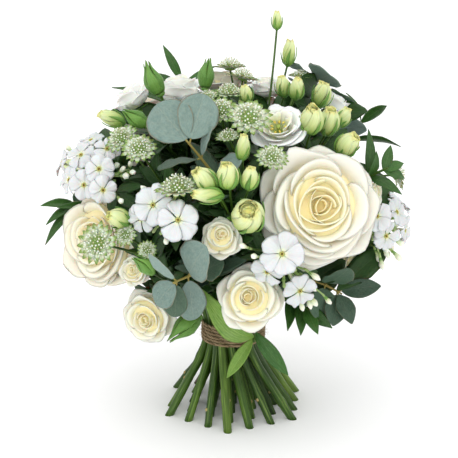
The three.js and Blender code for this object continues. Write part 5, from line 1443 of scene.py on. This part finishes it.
def make_looks():
    petal_look("rose_cream", [(0.0, "#FDE9A8"), (0.25, "#FCF1C4"), (0.5, "#F3EED2"), (0.75, "#E8E5D8"),
                              (1.0, "#DFDDD3")], "#FDEAB0", "#F1EFE2", 0.04)
    petal_look("rose_beige", [(0.0, "#FCE7AC"), (0.3, "#FAEFCA"), (0.6, "#F0EBD6"), (1.0, "#E6E1D2")],
               "#F6E6B4", "#F2EDDD", 0.05)
    petal_look("spray_cream", [(0.0, "#FDE8A4"), (0.3, "#FBF2CA"), (0.6, "#F1EFDB"), (1.0, "#E6E5DA")],
               "#FCEEB8", "#F3F1E5", 0.04)
    petal_look("spray_white", [(0.0, "#F0E9B4"), (0.3, "#F4F2E2"), (0.6, "#F4F4F0"), (1.0, "#F4F4F1")],
               "#DFE4B4", "#F7F7F4", 0.03)
    petal_look("lisianthus", [(0.0, "#E2E6A6"), (0.3, "#F0F1DE"), (0.6, "#F4F4F0"), (1.0, "#F3F3F1")],
               "#D3DE90", "#F7F7F5", 0.03)
    net = Net("phlox", **SOFT)
    veins = net.grain((18, 1.5, 0), 1.0, 5.0)
    cloud = net.grain((1.4, 1.4, 0), 1.5, 3.0)
    shade = net.ramp(net.along, [(0.0, "#B9BE7A"), (0.1, "#DFE3C2"), (0.24, "#D0D3CF"), (0.5, "#D3D5D6"),
                                 (1.0, "#D6D8DA")])
    dark = net.math("MULTIPLY_ADD", veins, 2.0, -0.8, clamp=True)
    shade = net.blend(net.math("MULTIPLY", dark, 0.3), shade, colour("#CDD1CB"), "MULTIPLY")
    net.finish(shade, veins, 0.3, 0.0006, net.math("MULTIPLY_ADD", cloud, 0.2, 0.5))
    net = Net("bract", **SOFT)
    veins = net.grain((9, 1.2, 0), 1.0, 4.0)
    shade = net.ramp(net.along, [(0.0, "#97AE6C"), (0.3, "#CBD5B4"), (0.7, "#DCE2CC"), (0.84, "#86A45A"),
                                 (1.0, "#3A6622")])
    middle = net.math("SUBTRACT", 1.0, net.math("MULTIPLY", net.math("ABSOLUTE", net.side), 4.0), clamp=True)
    shade = net.blend(net.math("MULTIPLY", middle, 0.45), shade, colour("#A9C27C"))
    net.finish(shade, veins, 0.5, 0.0006)
    net = Net("bud_petal", **SOFT)
    veins = net.grain((9, 1.5, 0), 1.5, 4.0)
    cloud = net.grain((1.5, 1.5, 0), 1.4, 3.0)
    run = net.math("ADD", net.along, net.math("MULTIPLY_ADD", cloud, 0.34, -0.17))
    shade = net.ramp(run, [(0.0, "#6A9638"), (0.22, "#9CB85E"), (0.5, "#C2CC88"), (0.8, "#DADFAA"),
                           (1.0, "#E2DC86")])
    dark = net.math("MULTIPLY_ADD", veins, 2.2, -0.9, clamp=True)
    shade = net.blend(net.math("MULTIPLY", dark, 0.3), shade, colour("#B3C47E"), "MULTIPLY")
    net.finish(shade, veins, 0.4, 0.0006)
    net = Net("slim_bud", **SOFT)
    veins = net.grain((5, 2, 0), 1.5, 3.0)
    shade = net.ramp(net.along, [(0.0, "#8FA85C"), (0.35, "#B9C98C"), (0.6, "#E8EDD8"), (1.0, "#F3F5EA")])
    net.finish(shade, veins, 0.3, 0.0004)
    for row in PLAIN_LOOKS:
        plain_look(*row)
    for row in LEAF_LOOKS:
        leaf_look(*row)
    stem_look("green_stem", [(0.1, "#24420A"), (0.35, "#365810"), (0.6, "#4C7018"), (0.78, "#66802A"),
                             (0.95, "#6C7632")])
    stem_look("woody_stem", [(0.1, "#4E5A2C"), (0.45, "#5F5A34"), (0.9, "#5E4A2E")])
    stem_look("twig", [(0.1, "#8A7A3C"), (0.45, "#A08C48"), (0.9, "#9A7C48")])
    net = Net("twine", Roughness=0.9, Specular_IOR_Level=0.15)
    fibre = net.grain((4, 90, 0), 1.0, 6.0)
    shade = net.ramp(net.math("MULTIPLY_ADD", net.tint, 0.35, net.math("MULTIPLY", fibre, 0.75)),
                     [(0.2, "#54462F"), (0.5, "#8C785A"), (0.75, "#AE9A7A"), (0.95, "#C8B696")])
    net.finish(shade, fibre, 0.8, 0.0008)


# Tips of the long phlox buds by cluster, as columns and rows of the photo
FANS = {
    1: [(131, 161), (125, 167), (119, 164), (135, 172), (113, 172), (128, 176)],
    2: [(141, 186), (148, 190), (139, 196)],
    3: [(320, 280), (331, 304), (317, 306), (311, 309), (303, 311), (316, 291)],
    4: [(401, 233), (396, 240), (404, 245), (402, 261), (389, 258), (383, 270), (400, 224), (394, 250)],
}

# Gaps between the heads that are closed by leaves painted near black to stand for the shade there, as columns and
# rows of the photo
GAPS = [(119, 157), (115, 171), (130, 175), (302, 104), (308, 84), (337, 139), (383, 197), (384, 205), (376, 256),
        (369, 252), (333, 268), (331, 276), (353, 112), (234, 97), (254, 97), (122, 114), (106, 138), (288, 102)]

# Aims of the leaf faces of a spray whose leaves state none
FACES = {"ruscus_spray_1": view(0.3, 0.35, 1), "ruscus_spray_2": view(-0.2, 0.4, 1),
         "ruscus_spray_3": view(0.1, -0.1, 1), "ruscus_spray_4": view(-0.3, 0.6, 0.6),
         "broad_leaf_spray": view(-0.1, 0.1, 1)}

# The mass of inner petals in a rose, as shares of its radius and depth
LARGE_BED = [(0.3, 0.1), (0.74, 0.33), (0.7, 0.48), (0.58, 0.63), (0.44, 0.68), (0.32, 0.62), (0.2, 0.58),
             (0.1, 0.56), (0.03, 0.56)]
SPRAY_BED = [(0.3, 0.1), (0.7, 0.33), (0.64, 0.5), (0.5, 0.62), (0.34, 0.6), (0.2, 0.56), (0.04, 0.54)]
CUP_BED = [(0.3, 0.1), (0.78, 0.4), (0.68, 0.6), (0.5, 0.7), (0.34, 0.72), (0.2, 0.72), (0.04, 0.72)]

# The slot of each kind of stem
SLOTS = {"large_rose": "green_stems", "spray_rose": "green_stems", "lisianthus": "bud_stems",
         "phlox": "bud_stems", "astrantia": "astrantia", "eucalyptus": "eucalyptus_leaves",
         "ruscus": "ruscus_leaves", "broad": "broad_leaves"}

# Twine: radii of the rope and its strands, their distance from its middle, turns, steps, twists and fibres
TWINE = {"rope": 1.45, "strand": 0.68, "apart": 0.62, "turns": 5.6, "steps": 1150, "twists": 190,
         "fibres": 260}


def add_roses():
    """Blooms of the roses; the spray roses at the top of the dome are paler and cupped."""
    for k in range(len(LARGE_ROSES)):
        name = f"large_rose_{k + 1}"
        head = heads_of[name]
        piece, random = Piece(), seeded(11 + k)
        look = "rose_beige" if k == 1 else "rose_cream"
        loose, first = (0.5, 0) if k == 0 else (1.0, 360 * random.random())
        grid = (17, 17) if k == 0 else (13, 13)
        rose_petals(piece, head, head["depth"], LARGE_PETALS, look, random, grid, loose, first)
        rose_bed(piece, head, head["depth"], "rose_heart", LARGE_BED)
        piece.build(f"fine_{name}", name, "rose_petals")
    count = 0
    for k, blooms in enumerate(SPRAY_ROSES):
        cupped = k in (2, 3)
        for j in range(len(blooms)):
            count += 1
            name = f"spray_rose_{count}"
            head = heads_of[name]
            piece, random = Piece(), seeded(53 + 5 * k + j)
            look = "spray_white" if cupped else "spray_cream"
            depth = head["depth"] * (1.35 if cupped else 1)
            petals = SPRAY_PETALS if head["radius"] > 18 else SPRAY_PETALS[:5] + SPRAY_PETALS[6:]
            first = 0 if count == 1 else 360 * random.random()
            offset = (-0.13, 0.1) if count == 3 else (0.08 * random.normal(), 0.08 * random.normal())
            rose_petals(piece, head, depth, CUP_PETALS if cupped else petals, look, random, (13, 13), 1.0,
                        first, offset)
            rose_bed(piece, head, depth, look if cupped else "rose_heart", CUP_BED if cupped else SPRAY_BED)
            piece.build(f"fine_{name}", name, "spray_rose_petals")


def add_lisianthus_flowers():
    for name, head in heads_of.items():
        if head["kind"] != "lisianthus":
            continue
        piece, random = Piece(), seeded(71 + int(name[-1]))
        base, aim, radius, depth = head["base"], head["arrive"], head["radius"], head["depth"]
        lisianthus_petals(piece, head, random)
        across, over, _ = frame_of(aim)
        heart = [(0.16, 0.1), (0.13, 0.2), (0.07, 0.34), (0.05, 0.56), (0.1, 0.62), (0.02, 0.68)]
        turned(piece, base, aim, scaled(heart, radius, depth), "style_green", 0.5, 12)
        for k in range(9):
            out = spoke(0.7 * k + 0.2, across, over)
            foot = base + aim * 0.14 * depth
            tip = base + out * 0.24 * radius + aim * (0.56 + 0.05 * (k % 2)) * depth
            tube(piece, [foot, mix(foot, tip, 0.5) + out * 0.02 * radius, tip], 0.3, 5, "style_green")
            ball(piece, tip, 0.95, "stamen", random.random(), 1.5, out, 8, 5)
        piece.build(f"fine_{name}", name, "lisianthus_petals")


def add_phlox_flowers():
    for k, florets in enumerate(PHLOX):
        name = f"phlox_flowers_{k + 1}"
        head = heads_of[name]
        piece, random = Piece(), seeded(91 + k)
        for place, aim, radius in florets:
            phlox_floret(piece, place, aim, radius, head["hub"], random)
        phlox_tuft(piece, head["hub"], head["arrive"], 16 if len(florets) > 3 else 9, random)
        knob = [(1, 0), (2.6, 1), (3.4, 3), (2.6, 5), (1, 5.8)]
        turned(piece, head["hub"] - head["arrive"] * 3, head["arrive"], knob, "sepal", 0.5, 12)
        if k + 1 in FANS:
            reach = 0.92 if k == 0 else 1.0
            bud_fan(piece, head["hub"], [seen(x, y, reach) for x, y in FANS[k + 1]], random)
        piece.build(f"fine_{name}", name, "phlox_petals")


def crowded(point):
    """True where a leaf would stand in or before a bloom, floret, bud, astrantia head or spray leaf."""
    for stem in stems:
        for leaf in stem.get("leaves", []):
            foot, tip = stem["nodes"][leaf[0]], leaf[1]
            along = unit(tip - foot)
            face = unit(point * vec(1, 1, 0.3))
            away = point - foot
            run = away @ along
            gap = away - along * run
            if -2 < run < np.linalg.norm(tip - foot) and -4 < gap @ face < 30:
                if np.linalg.norm(gap - face * (gap @ face)) < leaf[2] / 2 + 3:
                    return True
        for head in stem["heads"]:
            kind = head["kind"]
            if kind == "phlox":
                for place, aim, radius in head["florets"]:
                    away = point - place
                    high = away @ aim
                    if -3 < high < 25 and np.linalg.norm(away - high * aim) < radius + 1:
                        return True
                continue
            if kind in ("rose_bud", "lisianthus_bud"):
                if np.linalg.norm(point - head["middle"]) < 0.6 * head["length"] + 1:
                    return True
                continue
            if kind == "slim_bud":
                if np.linalg.norm(point - head["tip"]) < 6:
                    return True
                continue
            radius = head["radius"]
            foot = head["base"] if "base" in head else head["middle"] - head["arrive"] * 0.25 * radius
            away = point - foot
            high = away @ head["arrive"]
            if -0.02 * radius < high < radius + 25 and np.linalg.norm(away - high * head["arrive"]) < radius + 1:
                return True
    return False


def leafy(piece, points, random, count, length, look, low=0.35, high=0.97, reach=0.9):
    """Small leaves on a stem, held inside the dome between the heads, in a look painted dark to stand for the
    shade there.
    """
    steps = len(points) - 1
    for k in range(count):
        place = steps * (low + (high - low) * (k + random.random()) / count)
        here = int(min(steps - 1, place))
        foot = mix(points[here], points[here + 1], place - here)
        along = unit(points[here + 1] - points[here])
        outward = foot - vec(0, 0, TIE["z"] + 20)
        across, over, _ = frame_of(along)
        for _ in range(4):
            away = spoke(any_turn(random), across, over)
            way = unit(0.8 * away + 0.5 * along + 0.35 * unit(outward))
            size = length * (0.75 + 0.5 * random.random())
            tip = foot + way * size
            inside = (tip - vec(0, 0, DOME["centreZ"])) / vec(DOME["radius"], DOME["radius"], DOME["height"])
            if np.linalg.norm(inside) > reach or tip[2] < STEM["top"] + 18:
                continue
            if crowded(tip) or crowded(mix(foot, tip, 0.6)):
                continue
            face = unit(unit(outward) + 0.4 * along)
            blade(piece, foot, tip, face, size * (0.32 + 0.16 * random.random()), look, random, (0.45, 0.75), 0.05,
                  0.2, 0.05, (8, 5), 0.6, 0.1)
            break


def knots(piece, path, radii, random, count):
    """Swollen nodes of a cut stem below the tie, each with a pale scar where a leaf was stripped."""
    _, across, over = swept(path)
    for rank in random.choice(np.arange(3, 17), count, replace=False):
        radii[rank - 1:rank + 2] *= [1.04, 1.15, 1.04]
        out = spoke(any_turn(random), across[rank], over[rank])
        ball(piece, path[rank] + out * radii[rank] * 0.8, 1.8, "scar", random.random(), 0.7, out, 8, 5)


def shade_backing():
    """Leaves behind the heads that close the gaps seen from the front, each on the nearest stem, painted near
    black to stand for the shade there.
    """
    leaves = {}
    for x, y in GAPS:
        place = seen(x, y, 0.8)
        near = None
        for stem in stems:
            points = stem["main"]["points"][3:]
            gaps = np.linalg.norm(points - (place * vec(0.8, 0.8, 1) - vec(0, 0, 14)), axis=1)
            if near is None or gaps.min() < near[0]:
                near = (gaps.min(), stem["name"], points[gaps.argmin()])
        leaves.setdefault(near[1], []).append((near[2], place))
    return leaves


def add_stems():
    behind = shade_backing()
    for number, stem in enumerate(stems):
        piece, random = Piece(), seeded(300 + number)
        kind, spot = stem["kind"], stem["spot"]
        low, knee = at_height(spot, STEM["below"]), at_height(spot, STEM["knee"])
        ground = -STEM["below"] / (STEM["knee"] - STEM["below"])
        first = stem["main"]["firstNode"]
        points = stem["main"]["points"]
        route = np.vstack([[mix(low, knee, share) for share in (ground, 0.34, 0.5, 0.66, 0.84, 1)],
                           at_height(spot, TIE["z"]), at_height(spot, TIE["top"]), points[:first + 1]])
        path = smooth_path(route, 4.5)
        look = "woody_stem" if stem["name"] in ("eucalyptus_spray_4", "eucalyptus_spray_5") else "green_stem"
        # Leaves painted near black that close the gaps between the heads: painted shade.
        for foot, place in behind.get(stem["name"], []):
            way = unit(place - foot)
            blade(piece, foot, place + way * 13, view(0, 0.2, 1), 22, "shade_filler", random, (0.55, 0.7), 0.04, 0.15,
                  0.05, (9, 7), 0.6, 0.05)
        share = np.linspace(0, 1, len(path))
        slender = 0.93 if kind in ("phlox", "astrantia", "lisianthus") else 1
        radii = STEM["radius"] * slender * (0.98 + 0.025 * np.sin(share * 30 + number))
        radii = radii * np.interp(share, [0, 0.6, 1], [1, 1, 0.72])
        knots(piece, path, radii, random, 2 if kind in ("phlox", "lisianthus") else 1)
        foot_dir = unit(path[1] - path[0])
        path[0] = path[0] - foot_dir * (path[0][2] / foot_dir[2])
        tint = 0.02 + 0.78 * random.random()
        tube(piece, path, radii, 12, look, tint)
        ring = piece.points[-1][:12]
        ring -= foot_dir * (ring[:, 2:] / foot_dir[2])
        piece.points[-1][-2] = ring.mean(0)
        for branch in stem["branches"]:
            path = smooth_path(branch["points"], 3.5)
            thin = branch["radius"] * np.interp(np.linspace(0, 1, len(path)), [0, 0.3, 1], [1.25, 0.95, 0.8])
            tube(piece, path, thin, 8, "green_stem", 0.25 + 0.3 * random.random())
        for head in stem["heads"]:
            if head["kind"] in HEAD_FORMS:
                HEAD_FORMS[head["kind"]](piece, head, random)
        if "spine" in stem:
            add_foliage(piece, stem, points, first, random)
        else:
            # Inner leaves in the look painted near black for the shade inside the dome.
            leafy(piece, points[:first + 1], random, 22, 38, "shade_filler")
            for branch in stem["branches"]:
                leafy(piece, branch["points"], random, 10, 32, "shade_filler", 0.02, 0.95)
        piece.build(f"fine_{stem['name']}", stem["name"], SLOTS[kind])


def add_foliage(piece, stem, points, first, random):
    """The twig of a spray with its leaves, and small leaves on the stem below it, painted dark to stand for the
    shade inside the dome.
    """
    kind = stem["kind"]
    route = np.vstack([points[first - 1:first + 1], stem["nodes"][0], points[first + 1:first + 7]])
    spine = smooth_path(route, 3)
    wood = "twig" if kind == "eucalyptus" else "green_stem"
    thick = stem["branch"] * np.linspace(1.0, 0.5, len(spine)) * (0.75 if kind == "eucalyptus" else 1)
    tube(piece, spine, thick, 8, wood, 0.5)
    back = unit(stem["nodes"][1] - stem["nodes"][2])
    for rank, leaf in enumerate(stem["leaves"]):
        at, tip, width = leaf[:3]
        face = leaf[3] if len(leaf) > 3 else FACES.get(stem["name"], unit(tip - vec(0, 0, DOME["centreZ"] - 60)))
        root = stem["nodes"][at] + back * (4.5 if at == 2 else 0)
        if kind == "eucalyptus":
            foot = mix(root, tip, 0.1)
            stalk = [root, mix(root, foot, 0.6), foot + unit(tip - root) * 1.5]
            tube(piece, stalk, [0.9, 0.7, 0.5], 6, "twig", 0.4)
            # Some leaves get the darker copy of the eucalyptus look: painted shade for leaves that lie in shade.
            dark = stem["name"][-1] in "35" or rank in (2, 5)
            pointed = stem["name"][-1] == "3" and rank > 2
            blade(piece, foot, tip, face, width, "eucalyptus_painted_shade" if dark else "eucalyptus", random,
                  (0.46, 0.72) if pointed else (0.5, 0.56), 0.04, 0.12, 0.03, (17, 15), 0.8)
        elif kind == "ruscus":
            blade(piece, root, tip, face, width, "ruscus", random, (0.42, 0.85), 0.08, 0.22, 0.03, (15, 9),
                  0.8, 0.03)
        else:
            out = VIEW_BACK * (29, 0, 0)[rank]
            sag = (VIEW_BACK * 12 - VIEW_RIGHT * 3 - VIEW_UP * 5.5) if rank == 0 else None
            blade(piece, root, tip + out, face, width * (1.3, 1.0, 1.0)[rank],
                  "broad_dark" if rank == 2 else "broad_light", random, (0.5, 0.8), 0.06, 0.4, 0.03, (23, 13), 0.8,
                  bend=sag)
    # Inner leaves in looks painted dark to stand for the shade inside the dome.
    leafy(piece, points[:first + 1], random, 16, 36, "shade_filler" if kind != "eucalyptus" else "eucalyptus_painted_shade")
    leafy(piece, points[:first + 1], random, 8, 30, "shade_filler", 0.5, 1.0, 0.74)


def add_twine():
    """Jute wound round the waist: turns of three twisted strands, with loose fibres."""
    piece, random = Piece(), seeded(500)
    low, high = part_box("twine_binding")
    outer = 500 * (high.x - low.x)
    bottom, top = 1000 * low.z, 1000 * high.z
    rope, count = TWINE["rope"], TWINE["steps"]
    share = np.linspace(0, 1, count)
    angle = 2 * math.pi * TWINE["turns"] * share + 0.4
    height = bottom + rope + (top - bottom - 2 * rope) * share + 0.1 * np.sin(angle * 1.31)
    radius = outer - rope - 0.5 + 0.2 * np.sin(angle * 0.77 + 1)
    spine = np.stack([radius * np.cos(angle), radius * np.sin(angle), height], 1)
    _, across, over = swept(spine)
    for strand in range(3):
        twist = share * TWINE["twists"] * math.pi / 3 * 2 + 2 * math.pi * strand / 3
        path = spine + TWINE["apart"] * (np.cos(twist)[:, None] * across + np.sin(twist)[:, None] * over)
        tube(piece, path, TWINE["strand"], 6, "twine", 0.2 + 0.3 * strand)
    for _ in range(TWINE["fibres"]):
        here = int(random.integers(4, count - 4))
        start = spine[here] + unit(spine[here] * vec(1, 1, 0)) * 1.2
        way = unit(unit(spine[here] * vec(1, 1, 0)) + 1.2 * random.normal(size=3))
        reach = 1.5 + 3.5 * random.random()
        bow = 0.6 * random.normal(size=3)
        fibre = [start, start + way * reach * 0.5 + bow, start + way * reach]
        tube(piece, fibre, [0.09, 0.07, 0.04], 3, "twine", 0.9)
    piece.build("fine_twine_binding", "twine_binding", "twine")


# Light, floor and camera, in metres: each lamp's name, place, size and power
LIGHTS = [("key", (-0.7, -1.4, 2.2), 2.0, 15), ("fill", (1.6, -1.0, 1.3), 1.6, 3),
          ("front", (-0.4, -2.4, 0.8), 1.8, 7), ("back", (0.2, 1.5, 1.8), 1.6, 6)]
FLOOR_REACH, WORLD_STRENGTH, SENSOR = 7.0, 1.1, 36


def add_stage():
    mesh = bpy.data.meshes.new("floor")
    corners = [(x * FLOOR_REACH, y * FLOOR_REACH, 0) for x, y in ((-1, -1), (1, -1), (1, 1), (-1, 1))]
    mesh.from_pydata(corners, [], [(0, 1, 2, 3)])
    floor = bpy.data.objects.new("floor", mesh)
    bpy.context.scene.collection.objects.link(floor)
    net = Net("floor_paper", Roughness=0.9, Specular_IOR_Level=0.1)
    cloud = net.solid_grain(3.0, 2.0)
    net.finish(net.ramp(cloud, [(0.3, "#FCFCFC"), (0.7, "#FEFEFE")]))
    mesh.materials.append(net.material)
    scene = bpy.context.scene
    world = bpy.data.worlds.new("studio")
    scene.world = world
    world.use_nodes = True
    world.node_tree.nodes["Background"].inputs["Color"].default_value = (1, 1, 1, 1)
    world.node_tree.nodes["Background"].inputs["Strength"].default_value = WORLD_STRENGTH
    for name, place, size, power in LIGHTS:
        light = bpy.data.lights.new(name, "AREA")
        light.size, light.energy = size, power
        lamp = bpy.data.objects.new(name, light)
        lamp.location = place
        aim = Vector((0, 0, 0.17)) - lamp.location
        lamp.rotation_euler = aim.to_track_quat("-Z", "Y").to_euler()
        scene.collection.objects.link(lamp)
    scene.view_settings.view_transform = "Standard"
    scene.view_settings.look = "None"


def add_camera():
    camera = bpy.data.cameras.new("camera")
    camera.lens, camera.sensor_width = SENSOR * VIEW["focal"] / PHOTO_WIDTH, SENSOR
    viewer = bpy.data.objects.new("camera", camera)
    viewer.location = Vector((EYE + SHIFT) / 1000)
    aim = Vector((vec(VIEW["axisX"], 0, VIEW["aimZ"]) + SHIFT) / 1000) - viewer.location
    viewer.rotation_euler = aim.to_track_quat("-Z", "Y").to_euler()
    bpy.context.scene.collection.objects.link(viewer)
    bpy.context.scene.camera = viewer


gather()
for stem in stems:
    for head in stem["heads"]:
        if "node" in head:
            heads_of[head["node"]] = head
lay_routes()
make_looks()
add_roses()
add_lisianthus_flowers()
add_phlox_flowers()
add_stems()
add_twine()
add_stage()
add_camera()
